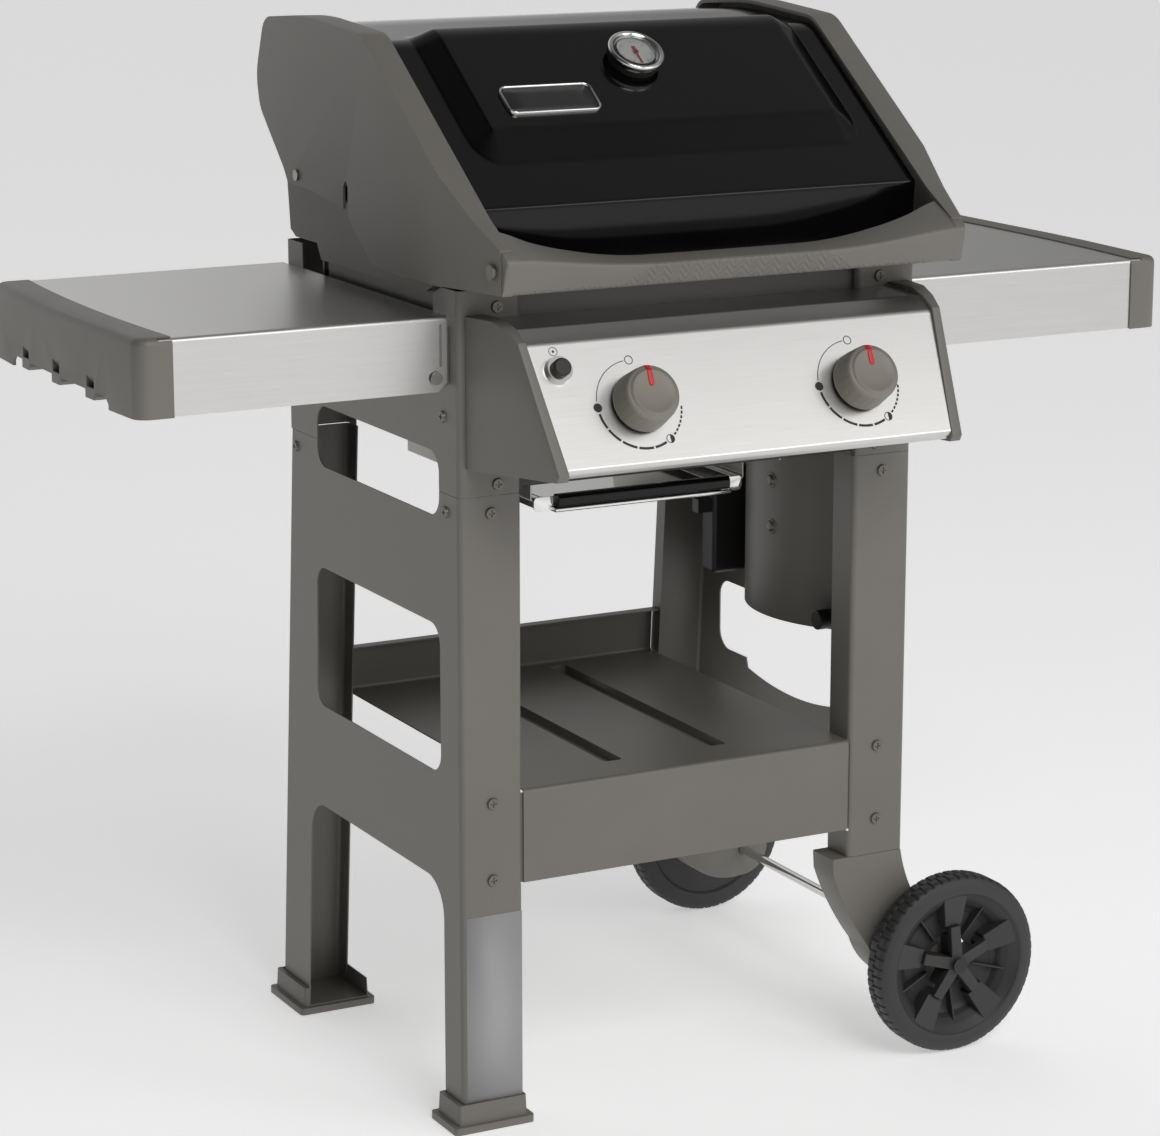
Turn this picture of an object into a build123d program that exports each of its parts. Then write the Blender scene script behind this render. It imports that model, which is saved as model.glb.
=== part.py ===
from build123d import *
import math
import os

# Gas barbecue grill on a two-wheeled cart.
# All sizes are in millimetres. Heights are above the ground. In the cart's own planes, y is
# counted backwards from the front face of the front legs, and x from the middle of the cart.

# Cart
SHEET = 1.6                  # thickness of the folded steel of the cart
CART_HALF = 270.0            # outer faces of the side frames
LEG_WIDTH = 71.0             # width of a front leg seen from the front
LEG_LIP = 41.0               # depth of the inner flange of a front leg
SEAM_Z = 680.0               # joint between the lower and the upper side frames
FRAME_TOP = 891.0            # top of the upper frames
REAR_TOP_Y = 428.0           # back face of a rear leg at the seam
REAR_SLOPE = 0.08            # how far a rear leg leans back for each millimetre down
LEG_FOOT_Z = 10.0            # lower end of the left legs, inside their feet
WHEEL_LEG_Z = 232.0          # joint between a right leg and its moulded wheel leg
DEPTH_MID = 193.24           # middle of the whole depth, where the part's origin is

# Shelf
SHELF_Z = 365.0
SHELF_APRON = 101.0
SHELF_REAR_Y = 448.0

# Wheels
WHEEL_R = 101.6
WHEEL_X = 319.5
WHEEL_FRONT_Y = -46.0        # outer face of the front wheel
WHEEL_REAR_Y = 547.0         # outer face of the rear wheel
WHEEL_WIDTH = 36.0
AXLE_R = 5.5

# Side tables
TABLE_Z = 865.0
TABLE_FRONT_Y = 18.0
TABLE_DEPTH = 420.0
TABLE_DROP = 77.0
TABLE_INNER_X = 273.0
TABLE_OUTER_X = 566.0
TABLE_END_X = 611.0
TABLE_SHEET = 1.0
PIVOT_X = 286.0
PIVOT_Z = 802.5

# Cookbox and lid
BOX_HALF = 262.0
BOX_FRONT_Y = 12.0
BOX_REAR_Y = 350.0
BOX_TOP_Z = 895.0
BOX_FLOOR_Z = 780.0
BOX_WALL = 4.0
BURNER_R = 12.5
BURNER_Z = 812.0
BAR_Z = 835.0                # underside of the heat bars
GRATE_Z = 876.0              # underside of the cooking grates
GRATE_PITCH = 18.0
HINGE_Y = 363.0
HINGE_Z = 969.0
HINGE_R = 4.0
CAP_HALF = 285.0             # outer faces of the lid's end caps
CAP_RIM = 30.0               # width of the rim of an end cap
CAP_SKIN = 3.0
SHELL_SKIN = 2.0
SHELL_DROP = 9.0             # how far the lid's shell lies below the rims

# Control panel
PANEL_DIAL_X = 127.5
PANEL_Y = -117.4             # middle of the dials on the panel's face
PANEL_Z = 784.8
PANEL_LEAN = math.degrees(math.atan2(118.0, 65.9))
KNOB_R = 31.5
KNOB_HEIGHT = 32.0
KNOB_GAP = 5.5               # room between the knob and the panel, for its push
STEM_R = 4.0
BUTTON_X = -208.0
BUTTON_UP = 41.6

RUN_GAP = 0.05               # radial clearance of a running fit

CART = Plane(origin=(0, -DEPTH_MID, 0))
SIDE = Plane(origin=(0, -DEPTH_MID, 0), x_dir=(0, 1, 0), z_dir=(1, 0, 0))
FACE = Plane(origin=(0, -DEPTH_MID, 0), x_dir=(1, 0, 0), z_dir=(0, -1, 0))
PANEL_NORMAL = (0, -math.sin(math.radians(PANEL_LEAN)), math.cos(math.radians(PANEL_LEAN)))
PANEL = Plane(origin=(0, PANEL_Y - DEPTH_MID, PANEL_Z), x_dir=(1, 0, 0), z_dir=PANEL_NORMAL)
SIDES = {"left": -1, "right": 1}

os.makedirs("parts", exist_ok=True)


def save(piece, name):
    """Label a finished piece and write it to its own file."""
    piece.part.label = name
    export_step(piece.part, f"parts/{name}.step")


def strip(plane, corners, radius, thick=SHEET):
    """Section of a folded sheet: a band with rounded bends through the corners."""
    with BuildSketch(plane) as section:
        with BuildLine():
            FilletPolyline(*corners, radius=radius)
        trace(line_width=thick)
    return section.sketch


def outline(plane, corners, radius=0.0):
    """Filled profile through the corners, which are rounded where a radius is given."""
    with BuildSketch(plane) as profile:
        with BuildLine():
            if radius:
                FilletPolyline(*corners, radius=radius, close=True)
            else:
                Polyline(*corners, close=True)
        make_face()
    return profile.sketch


def slab(plane, x, y, width, height, radius=0.0):
    """Rectangle with one corner at x, y on a plane, with rounded corners if asked."""
    with BuildSketch(plane) as face:
        with Locations((x + width / 2, y + height / 2)):
            if radius:
                RectangleRounded(width, height, radius)
            else:
                Rectangle(width, height)
    return face.sketch


def disc(plane, x, y, radius):
    """Circle at x, y on a plane."""
    with BuildSketch(plane) as face:
        with Locations((x, y)):
            Circle(radius)
    return face.sketch


def outer_side(side):
    """Outer face of a side frame, with x counted backwards times the side and y upwards."""
    return Plane(origin=(side * CART_HALF, -DEPTH_MID, 0), x_dir=(0, side, 0), z_dir=(side, 0, 0))


def rear_y(z):
    """Back face of the slanting rear legs at height z."""
    return REAR_TOP_Y + REAR_SLOPE * (SEAM_Z - z)


# ---------------------------------------------------------------- lower side frames
# Each is one folded steel sheet: a front leg channel, a side panel with openings and a
# slanting rear leg channel. The right one stops at the wheel legs.

LEAN = Vector(0, REAR_SLOPE, -1).normalized()
LEFT_WINDOW = [(47, 379), (369, 379), (365, 430), (362, 538), (47, 538)]
SEAM_NOTCH = [(46, 652), (355, 652), (355, 720), (46, 720)]
LEFT_ARCH = [(43, -60), (43, 262), (388, 262), (411, -60)]
RIGHT_ARCH = [(43, -60), (43, 262), (392, 262), (392, -60)]
TANK_OPENING = [(96, 400), (328, 400), (328, 640), (96, 640)]


SIDE_SCREWS = [(30, 661), (413, 662), (35, 759)]


def front_screw_holes(side, heights):
    """Clearance holes of the leg screws, drilled through the front face of a leg."""
    for z in heights:
        extrude(disc(FACE.offset(2), side * 234, z, 3.1), amount=-8, mode=Mode.SUBTRACT)


def side_frame(side):
    """One lower side frame: side is -1 for left and 1 for right."""
    bottom = LEG_FOOT_Z if side < 0 else WHEEL_LEG_Z
    mid = SHEET / 2
    outer = side * (CART_HALF - mid)
    inner = side * (CART_HALF - LEG_WIDTH + mid)
    front_leg = [(inner, LEG_LIP), (inner, mid), (outer, mid), (outer, 60)]
    rear_inner = side * (CART_HALF - LEG_WIDTH + mid)
    rear_leg = [(outer, 380), (outer, REAR_TOP_Y - mid), (rear_inner, REAR_TOP_Y - mid), (rear_inner, 404)]
    panel = [(40, bottom), (40, SEAM_Z), (REAR_TOP_Y - 20, SEAM_Z), (rear_y(bottom) - 20, bottom)]
    with BuildPart() as frame:
        extrude(strip(CART.offset(bottom), front_leg, 5), amount=SEAM_Z - bottom)
        leg_length = (SEAM_Z - bottom) / -LEAN.Z
        extrude(strip(CART.offset(SEAM_Z), rear_leg, 5), amount=leg_length, dir=LEAN)
        extrude(outline(SIDE.offset(side * CART_HALF), panel), amount=-side * SHEET)
        cut = SIDE.offset(side * (CART_HALF + 5))
        if side < 0:
            extrude(outline(cut, LEFT_WINDOW, 22), amount=12, mode=Mode.SUBTRACT)
            extrude(outline(cut, SEAM_NOTCH, 22), amount=12, mode=Mode.SUBTRACT)
            extrude(outline(cut, LEFT_ARCH, 40), amount=12, mode=Mode.SUBTRACT)
        else:
            with BuildSketch(cut):
                with BuildLine():
                    Polyline((47, 454), (47, 390))
                    ThreePointArc((47, 390), (200, 350), (338, 359))
                    Polyline((338, 359), (342, 371), (382, 371))
                    ThreePointArc((382, 371), (398, 377), (405, 393))
                    Line((405, 393), (405, 432))
                    ThreePointArc((405, 432), (399, 448), (384, 454))
                    Line((384, 454), (47, 454))
                make_face()
            extrude(amount=-12, mode=Mode.SUBTRACT)
            extrude(outline(cut, TANK_OPENING, 20), amount=-12, mode=Mode.SUBTRACT)
            extrude(outline(cut, RIGHT_ARCH, 30), amount=-12, mode=Mode.SUBTRACT)
        slot_x = side * (CART_HALF - LEG_WIDTH - 3) if side > 0 else side * (CART_HALF - LEG_WIDTH + 6)
        extrude(slab(CART.offset(SHELF_Z - SHELF_APRON - 3), slot_x, 1.7, 9, 6), amount=SHELF_APRON + 5,
                mode=Mode.SUBTRACT)
        front_screw_holes(side, (662, 355, 272))
        for screw_y, screw_z in SIDE_SCREWS[:2]:
            extrude(disc(outer_side(side).offset(2), side * screw_y, screw_z, 3.1), amount=-8,
                    mode=Mode.SUBTRACT)
    return frame


for side_name, side in SIDES.items():
    save(side_frame(side), f"side_frame_{side_name}")


# ---------------------------------------------------------------- upper side frames
# Folded channels that carry the cookbox, the tables and the control panel.

def upper_frame(side):
    mid = SHEET / 2
    outer = side * (CART_HALF - mid)
    inner = side * (CART_HALF - LEG_WIDTH + mid)
    section = [(inner, LEG_LIP), (inner, mid), (outer, mid), (outer, REAR_TOP_Y + 3 - mid),
               (inner, REAR_TOP_Y + 3 - mid), (inner, 408)]
    saddle = [(56, 864), (56, 882), (20, 900), (20, 930), (387, 930), (387, 864)]
    with BuildPart() as frame:
        extrude(strip(CART.offset(SEAM_Z + 0.4), section, 5), amount=FRAME_TOP - SEAM_Z - 0.4)
        cut = SIDE.offset(side * (CART_HALF + 5))
        extrude(outline(cut, saddle), amount=-side * 12, mode=Mode.SUBTRACT)
        if side < 0:
            extrude(outline(cut, SEAM_NOTCH, 22), amount=12, mode=Mode.SUBTRACT)
        trim = [(inner - 9, SEAM_Z + 30), (inner + 9, SEAM_Z + 30), (inner + 9, 900), (inner - 9, 900)]
        extrude(outline(FACE.offset(-8), trim), amount=-60, mode=Mode.SUBTRACT)
        extrude(slab(CART.offset(SEAM_Z), inner - 5, 1.7, 10, 6), amount=27, mode=Mode.SUBTRACT)
        screw_y, screw_z = SIDE_SCREWS[2]
        extrude(disc(outer_side(side).offset(2), side * screw_y, screw_z, 3.1), amount=-8, mode=Mode.SUBTRACT)
        for z in (873, 691.5):
            extrude(disc(FACE.offset(2), side * 226, z, 3.1), amount=-8, mode=Mode.SUBTRACT)
    return frame


for side_name, side in SIDES.items():
    save(upper_frame(side), f"upper_frame_{side_name}")

# ---------------------------------------------------------------- cross bars and pan rails

with BuildPart() as front_crossbar:
    bar = [(32, 686), (2.6, 686), (2.6, 728), (32, 728)]
    extrude(strip(SIDE.offset(-197), bar, 4), amount=394)
    for side in SIDES.values():
        tab_x = 197 if side > 0 else -262
        extrude(slab(FACE.offset(-1.8), tab_x, 684, 65, 20), amount=-SHEET)
        extrude(disc(FACE.offset(2), side * 226, 691.5, 3.1), amount=-8, mode=Mode.SUBTRACT)
save(front_crossbar, "front_crossbar")

with BuildPart() as rear_crossbar:
    bar = [(404, 686), (428, 686), (428, 728), (404, 728)]
    extrude(strip(SIDE.offset(-194), bar, 4), amount=388)
save(rear_crossbar, "rear_crossbar")

RAIL_X = 129.3
RAIL_Z = 642.2
PAN_Y = 115.6                # front wall of the catch pan
with BuildPart() as pan_rails:
    for side in SIDES.values():
        rail = [(side * (RAIL_X - 9.8), -RAIL_Z), (side * RAIL_X, -RAIL_Z), (side * RAIL_X, -684.6)]
        back_view = Plane(origin=(0, 38 - DEPTH_MID, 0), x_dir=(1, 0, 0), z_dir=(0, 1, 0))
        extrude(strip(back_view, rail, 2), amount=384)
        front_relief = slab(SIDE.offset(side * (RAIL_X - 15)), 30, 630, PAN_Y - 29.2, 46)
        extrude(front_relief, amount=side * 20, mode=Mode.SUBTRACT)
save(pan_rails, "pan_rails")

# ---------------------------------------------------------------- bottom shelf
# A folded sheet: apron at the front, a floor with two deep and two shallow grooves, and a
# raised rail at the back. Drain slots lie along the grooves.

GROOVE_X = (64, 195)
GROOVE_WIDTH = 22.0
GROOVE_DEPTH = 9.0
with BuildPart() as bottom_shelf:
    half = CART_HALF - LEG_WIDTH - 1.2
    fold = [(SHEET / 2, SHELF_Z - SHELF_APRON), (SHEET / 2, SHELF_Z - SHEET / 2),
            (SHELF_REAR_Y, SHELF_Z - SHEET / 2), (SHELF_REAR_Y - 4, 418), (SHELF_REAR_Y - 20, 418)]
    extrude(strip(SIDE.offset(-half), fold, 4), amount=2 * half)
    for side in SIDES.values():
        for groove_x in GROOVE_X:
            if groove_x + GROOVE_WIDTH / 2 < half:
                left_edge = side * groove_x - GROOVE_WIDTH / 2
                extrude(slab(CART.offset(SHELF_Z + 1), left_edge, 52, GROOVE_WIDTH, 378, 4), amount=-4,
                        mode=Mode.SUBTRACT)
                for wall_x in (left_edge - SHEET, left_edge + GROOVE_WIDTH):
                    extrude(slab(CART.offset(SHELF_Z - SHEET), wall_x, 50, SHEET, 382), amount=-GROOVE_DEPTH)
                extrude(slab(CART.offset(SHELF_Z - SHEET - GROOVE_DEPTH), left_edge - SHEET, 50,
                             GROOVE_WIDTH + 2 * SHEET, 382), amount=-SHEET)
                for end_y in (50, 430.4):
                    extrude(slab(CART.offset(SHELF_Z - SHEET), left_edge, end_y, GROOVE_WIDTH, SHEET),
                            amount=-GROOVE_DEPTH)
                for slot_y in (64, 330):
                    extrude(slab(CART.offset(SHELF_Z - 5), left_edge + 3, slot_y, 8, 62, 3), amount=-10,
                            mode=Mode.SUBTRACT)
        tab_x = half - 3 if side > 0 else -262
        extrude(slab(CART.offset(SHELF_Z - SHELF_APRON), tab_x, 2.6, 262 - half + 3, SHEET),
                amount=SHELF_APRON - 4)
        extrude(slab(CART.offset(SHELF_Z - SHELF_APRON), side * (half - 1.5) - 1.5, 0.8, 3, 3),
                amount=SHELF_APRON - 4)
        front_screw_holes(side, (355, 272))
save(bottom_shelf, "bottom_shelf")

# ---------------------------------------------------------------- wheel legs, axle and feet
# The moulded wheel legs carry on from the right legs and sweep out to the axle.


def wheel_leg(face, depth, hub_from, hub_to):
    """Moulded leg from the frame down to the axle: depth is measured back from its face."""
    with BuildPart() as leg:
        with BuildSketch(face):
            with BuildLine():
                Polyline((268.8, 231.6), (181, 231.6), (182, 212))
                ThreePointArc((182, 212), (197, 176), (229, 123))
                ThreePointArc((229, 123), (262, 80), (WHEEL_X, 68))
                ThreePointArc((WHEEL_X, 68), (WHEEL_X + 33.6, WHEEL_R), (WHEEL_X, WHEEL_R + 33.6))
                ThreePointArc((WHEEL_X, WHEEL_R + 33.6), (290, 172), (268.8, 231.6))
            make_face()
        extrude(amount=depth, dir=(0, 1, 0))
        back = leg.faces().sort_by(Axis.Y)[-1]
        offset(amount=-3.5, openings=back)
        extrude(disc(FACE.offset(-hub_from), WHEEL_X, WHEEL_R, 14), amount=hub_from - hub_to)
        extrude(disc(FACE.offset(100), WHEEL_X, WHEEL_R, AXLE_R), amount=-700, mode=Mode.SUBTRACT)
    return leg


save(wheel_leg(FACE.offset(-0.4), 43, -8, 43), "wheel_leg_front")
REAR_FACE = Plane(origin=(0, rear_y(0) - 44 - DEPTH_MID, 0), x_dir=(1, 0, 0), z_dir=(0, -1, -REAR_SLOPE))
save(wheel_leg(REAR_FACE, 44, 431.5, WHEEL_REAR_Y - WHEEL_WIDTH - 1), "wheel_leg_rear")

with BuildPart() as wheel_axle:
    extrude(disc(FACE.offset(-WHEEL_FRONT_Y + 0.5), WHEEL_X, WHEEL_R, AXLE_R),
            amount=WHEEL_FRONT_Y - WHEEL_REAR_Y - 1)
save(wheel_axle, "wheel_axle")

with BuildPart() as axle_caps:
    for cap_y, way in ((WHEEL_FRONT_Y - 0.5, 1), (WHEEL_REAR_Y + 0.5, -1)):
        extrude(disc(FACE.offset(-cap_y), WHEEL_X, WHEEL_R, 9), amount=way * 2)
save(axle_caps, "axle_caps")


def wheel(outer_y, side):
    """Moulded wheel: tread, dished side wall, five blades and a ribbed back."""
    face = FACE.offset(-outer_y)
    with BuildPart() as body:
        extrude(disc(face, WHEEL_X, WHEEL_R, WHEEL_R), amount=-side * WHEEL_WIDTH)
        chamfer(body.edges().filter_by(GeomType.CIRCLE), length=3.5)
        extrude(disc(face, WHEEL_X, WHEEL_R, 80), amount=-side * WHEEL_WIDTH, mode=Mode.SUBTRACT)
        extrude(disc(face.offset(-side * 14), WHEEL_X, WHEEL_R, 82), amount=-side * 4)
        with BuildSketch(face.offset(-side * 12)):
            with Locations((WHEEL_X, WHEEL_R)):
                with PolarLocations(53, 5, start_angle=54):
                    Circle(16)
        extrude(amount=-side * 10, mode=Mode.SUBTRACT)
        extrude(disc(face, WHEEL_X, WHEEL_R, 16), amount=-side * WHEEL_WIDTH)
        with BuildSketch(face.offset(-side * 4)):
            with Locations((WHEEL_X, WHEEL_R)):
                with PolarLocations(45, 5, start_angle=90):
                    Rectangle(72, 20)
        extrude(amount=-side * 10.5)
        with BuildSketch(face.offset(-side * 18)):
            with Locations((WHEEL_X, WHEEL_R)):
                with PolarLocations(48, 15):
                    Rectangle(68, 2)
        extrude(amount=-side * 12)
        bore = disc(face.offset(side * 5), WHEEL_X, WHEEL_R, AXLE_R + RUN_GAP)
        extrude(bore, amount=-side * (WHEEL_WIDTH + 10), mode=Mode.SUBTRACT)
    return body


save(wheel(WHEEL_FRONT_Y, 1), "wheel_front")
save(wheel(WHEEL_REAR_Y, -1), "wheel_rear")


def foot(front_y, back_y, leg_section):
    """Plastic foot: a flange on the floor and a collar that holds the end of a leg."""
    left = -CART_HALF - 13
    width = LEG_WIDTH + 22
    with BuildPart() as shoe:
        extrude(slab(CART, left, front_y, width, back_y - front_y, 5), amount=8)
        extrude(slab(CART.offset(8), left + 6, front_y + 5, width - 12, back_y - front_y - 10, 4),
                amount=22, taper=3)
        extrude(leg_section, amount=40, mode=Mode.SUBTRACT)
    return shoe


front_socket = slab(CART.offset(LEG_FOOT_Z - 0.2), -CART_HALF - 0.3, -0.3, LEG_WIDTH + 0.6, 46)
save(foot(-9, 54, front_socket), "foot_front")
rear_socket = slab(CART.offset(LEG_FOOT_Z - 0.2), -CART_HALF - 0.3, 403, LEG_WIDTH + 0.6, 80)
save(foot(398, 492, rear_socket), "foot_rear")

# ---------------------------------------------------------------- screws of the cart

SCREW_SHANK = 3.0


def pan_screw(plane, x, y):
    """Pan-head screw with a cross recess, head on the plane and shank behind it."""
    extrude(disc(plane, x, y, 6.5), amount=2.6, taper=18)
    extrude(disc(plane, x, y, SCREW_SHANK), amount=-7)
    for width, height in ((7, 1.5), (1.5, 7)):
        extrude(slab(plane.offset(1.4), x - width / 2, y - height / 2, width, height), amount=3,
                mode=Mode.SUBTRACT)


with BuildPart() as frame_screws:
    for side in SIDES.values():
        for z in (662, 355, 272):
            pan_screw(FACE, side * 234, z)
        for z in (873, 691.5):
            pan_screw(FACE, side * 226, z)
        for screw_y, screw_z in SIDE_SCREWS:
            pan_screw(outer_side(side), side * screw_y, screw_z)
save(frame_screws, "frame_screws")

# ---------------------------------------------------------------- tank shield and scale

with BuildPart() as tank_shield:
    with BuildSketch(CART.offset(458)):
        with BuildLine():
            Line((267.5, 76), (267.5, 95))
            ThreePointArc((267.5, 95), (215.5, 212), (267.5, 329))
            Line((267.5, 329), (267.5, 352))
        trace(line_width=1.5)
    extrude(amount=236)
save(tank_shield, "tank_shield")

with BuildPart() as tank_scale:
    extrude(slab(CART.offset(478), 221, 338, 45.3, 30, 5), amount=124)
    fillet(tank_scale.faces().sort_by(Axis.Z)[0].edges(), radius=5)
    extrude(slab(CART.offset(551), 203, 343, 20, 14), amount=16)
save(tank_scale, "tank_scale")

with BuildPart() as tank_bumper:
    extrude(disc(SIDE.offset(215), 100, 476, 11), amount=22)
    fillet(tank_bumper.edges().filter_by(GeomType.CIRCLE), radius=2)
    extrude(disc(SIDE.offset(236), 100, 476, 3), amount=22)
save(tank_bumper, "tank_bumper")

# ---------------------------------------------------------------- side tables
# Folded stainless tops with plastic ends. The left one folds down about its front and rear
# pivots; the right one is bolted to the frame.

HOOK_Y = (132, 228, 324)
HOOK_Z = 790.5
END_LOW_Z = 787.0
END_BOW = 7.0                # how far the middle of a table end bows out


def table_top(side):
    section = [(TABLE_FRONT_Y + 0.5, TABLE_Z - TABLE_DROP), (TABLE_FRONT_Y + 0.5, TABLE_Z - 0.5),
               (TABLE_FRONT_Y + TABLE_DEPTH - 0.5, TABLE_Z - 0.5),
               (TABLE_FRONT_Y + TABLE_DEPTH - 0.5, TABLE_Z - TABLE_DROP)]
    with BuildPart() as top:
        extrude(strip(SIDE.offset(side * TABLE_INNER_X), section, 4, TABLE_SHEET),
                amount=side * (TABLE_OUTER_X + 14 - TABLE_INNER_X))
        corner = [(side * (TABLE_INNER_X - 5), 770), (side * (TABLE_INNER_X + 9), 770),
                  (side * (TABLE_INNER_X + 9), 788.5), (side * TABLE_INNER_X, 797.5),
                  (side * (TABLE_INNER_X - 5), 797.5)]
        extrude(outline(FACE, corner), amount=-500, mode=Mode.SUBTRACT)
        for hole_y in (TABLE_FRONT_Y, TABLE_FRONT_Y + TABLE_DEPTH):
            hole = disc(FACE.offset(6 - hole_y), side * PIVOT_X, PIVOT_Z, 3.5 + RUN_GAP)
            extrude(hole, amount=-12, mode=Mode.SUBTRACT)
        if side < 0:
            slot = slab(FACE.offset(6 - TABLE_FRONT_Y), -281.5, 813, 3, 44, 1.4)
            extrude(slot, amount=-12, mode=Mode.SUBTRACT)
    return top


def end_plan(side, z, inset, corner):
    """Plan of a table end at height z, drawn in by an inset and with rounded outer corners."""
    front, back = TABLE_FRONT_Y - 1.6, TABLE_FRONT_Y + TABLE_DEPTH + 1.6
    middle = (front + back) / 2
    inner = side * (TABLE_OUTER_X + inset / 2)
    outer = side * (TABLE_END_X - END_BOW - inset)
    with BuildSketch(CART.offset(z)) as sketch:
        with BuildLine():
            Line((inner, front + inset), (outer, front + inset))
            bow = side * (TABLE_END_X - inset)
            ThreePointArc((outer, front + inset), (bow, middle), (outer, back - inset))
            Line((outer, back - inset), (inner, back - inset))
            ThreePointArc((inner, back - inset), (inner + side * 9, middle), (inner, front + inset))
        make_face()
        fillet(sketch.vertices().group_by(Axis.X)[0 if side < 0 else -1], radius=corner)
    return sketch.sketch


def table_end(side):
    """Plastic table end: bowed shell with an arched lower edge and three tool hooks."""
    tall = TABLE_Z + 1.4 - END_LOW_Z
    face_x = side * TABLE_END_X
    with BuildPart() as end:
        extrude(end_plan(side, END_LOW_Z, 0, 16), amount=tall)
        top_edges = end.faces().sort_by(Axis.Z)[-1].outer_wire().edges()
        fillet(top_edges.filter_by(lambda edge: abs(edge.center().X) > TABLE_OUTER_X + 20), radius=8)
        extrude(end_plan(side, END_LOW_Z, 3, 13), amount=tall - 9, mode=Mode.SUBTRACT)
        sheet_room = slab(SIDE.offset(side * (TABLE_OUTER_X - 2)), TABLE_FRONT_Y - 0.2, 780,
                          TABLE_DEPTH + 0.4, TABLE_Z - 780 + 0.2)
        extrude(sheet_room, amount=side * 17, mode=Mode.SUBTRACT)
        arch = [(86, 780), (86, 792), (93, 799), (363, 799), (370, 792), (370, 780)]
        extrude(outline(SIDE.offset(face_x + side * 5), arch), amount=-side * 24, mode=Mode.SUBTRACT)
        for hook_y in HOOK_Y:
            with BuildPart(mode=Mode.PRIVATE) as lobe:
                extrude(end_plan(side, HOOK_Z, 0, 16), amount=30)
                room = slab(SIDE.offset(face_x - side * 17), hook_y - 13.5, 780, 27, 60)
                extrude(room, amount=side * 30, mode=Mode.INTERSECT)
            add(lobe.part)
            trim = [(hook_y - 15, HOOK_Z - 1), (hook_y - 8, HOOK_Z - 1), (hook_y - 15, HOOK_Z + 5)]
            extrude(outline(SIDE.offset(face_x + side * 5), trim), amount=-side * 30, mode=Mode.SUBTRACT)
            pocket = [(face_x + side * 3, 819), (face_x - side * 12, 799.5), (face_x - side * 5, 799.5),
                      (face_x - side * 4.5, 802), (face_x + side * 3, 802)]
            extrude(outline(FACE.offset(10 - hook_y), pocket), amount=-20, mode=Mode.SUBTRACT)
    return end


def table_brackets(side):
    """Steel brackets on the frame, inside the aprons, that carry a side table."""
    with BuildPart() as brackets:
        for near, far in ((TABLE_FRONT_Y + 1.2, TABLE_FRONT_Y + 3.2),
                          (TABLE_FRONT_Y + TABLE_DEPTH - 3.2, TABLE_FRONT_Y + TABLE_DEPTH - 1.2)):
            ear_x = CART_HALF + 0.2 if side > 0 else -CART_HALF - 30.2
            extrude(slab(FACE.offset(-near), ear_x, 792, 30, 64, 6), amount=near - far)
            foot_x = CART_HALF + 0.2 if side > 0 else -CART_HALF - 2.2
            inward = near if near < 100 else far - 20
            extrude(slab(CART.offset(800), foot_x, inward, 2, 20), amount=50)
            pin_start = near - 3.5 if near < 100 else near
            extrude(disc(FACE.offset(-pin_start), side * PIVOT_X, PIVOT_Z, 3.5), amount=-5.5)
            head_y = near - 3.6 if near < 100 else far + 3.6
            way = 1 if near < 100 else -1
            extrude(disc(FACE.offset(-head_y), side * PIVOT_X, PIVOT_Z, 6.5), amount=way * 1.6)
    return brackets


for side_name, side in SIDES.items():
    save(table_top(side), f"table_top_{side_name}")
    save(table_end(side), f"table_end_{side_name}")
    save(table_brackets(side), f"table_brackets_{side_name}")
    with BuildPart() as stiffener:
        for rib_y in (120, 320):
            rib = [(rib_y, TABLE_Z - 2), (rib_y, TABLE_Z - 20),
                   (rib_y + 30, TABLE_Z - 20), (rib_y + 30, TABLE_Z - 2)]
            extrude(strip(SIDE.offset(side * (TABLE_INNER_X + 42)), rib, 3, 1.2), amount=side * 230)
    save(stiffener, f"table_ribs_{side_name}")

# ---------------------------------------------------------------- control panel

PANEL_TAPER = 14.8 / 80.4
FACE_EDGE = [(-237.2, 870), (-236.4, 847.3), (-222.3, 729.3), (-221, 712),
             (221, 712), (222.3, 729.3), (236.4, 847.3), (237.2, 870)]

with BuildPart() as panel_face:
    fold = [(-0.6, 861), (-62, 859.5), (-82.9, 846.6), (-148.6, 729.1), (-142, 722.5), (-128, 722.5)]
    extrude(strip(SIDE.offset(-240), fold, [6, 9, 5, 3], 1.2), amount=480)
    extrude(outline(FACE.offset(-20), FACE_EDGE), amount=200, mode=Mode.INTERSECT)
    for side in SIDES.values():
        extrude(disc(PANEL.offset(-9), side * PANEL_DIAL_X, 0, 10), amount=18, mode=Mode.SUBTRACT)
    extrude(disc(PANEL.offset(-9), BUTTON_X, BUTTON_UP, 12), amount=18, mode=Mode.SUBTRACT)
save(panel_face, "panel_face")

CAP_OUTLINE = [(-0.4, 710), (-0.4, 866), (-44, 866.5), (-68, 860), (-86, 850), (-151.5, 727), (-147, 720)]
CAP_POCKET = [(1, 713), (1, 863), (-43, 863.4), (-66, 857), (-83, 848), (-147, 728.5), (-145, 724)]


def panel_cap(side):
    """Hollow moulded end of the control panel, narrowing towards its front."""
    with BuildPart() as cap:
        extrude(outline(SIDE.offset(side * 262), CAP_OUTLINE), amount=-side * 46)
        plan = [(side * 262, 1), (side * (262 - PANEL_TAPER * 160), -160), (side * 216, -160), (side * 216, 1)]
        extrude(outline(CART.offset(700), plan), amount=180, mode=Mode.INTERSECT)
        pocket_plan = [(side * 259, 2), (side * (259 - PANEL_TAPER * 160), -160), (side * 215, -160), (side * 215, 2)]
        with BuildPart(mode=Mode.PRIVATE) as pocket:
            extrude(outline(SIDE.offset(side * 262), CAP_POCKET), amount=-side * 48)
            extrude(outline(CART.offset(700), pocket_plan), amount=180, mode=Mode.INTERSECT)
        add(pocket.part, mode=Mode.SUBTRACT)
        room = [(x * 1.001, z) for x, z in FACE_EDGE]
        extrude(outline(FACE.offset(-20), room), amount=200, mode=Mode.SUBTRACT)
    return cap


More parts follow.
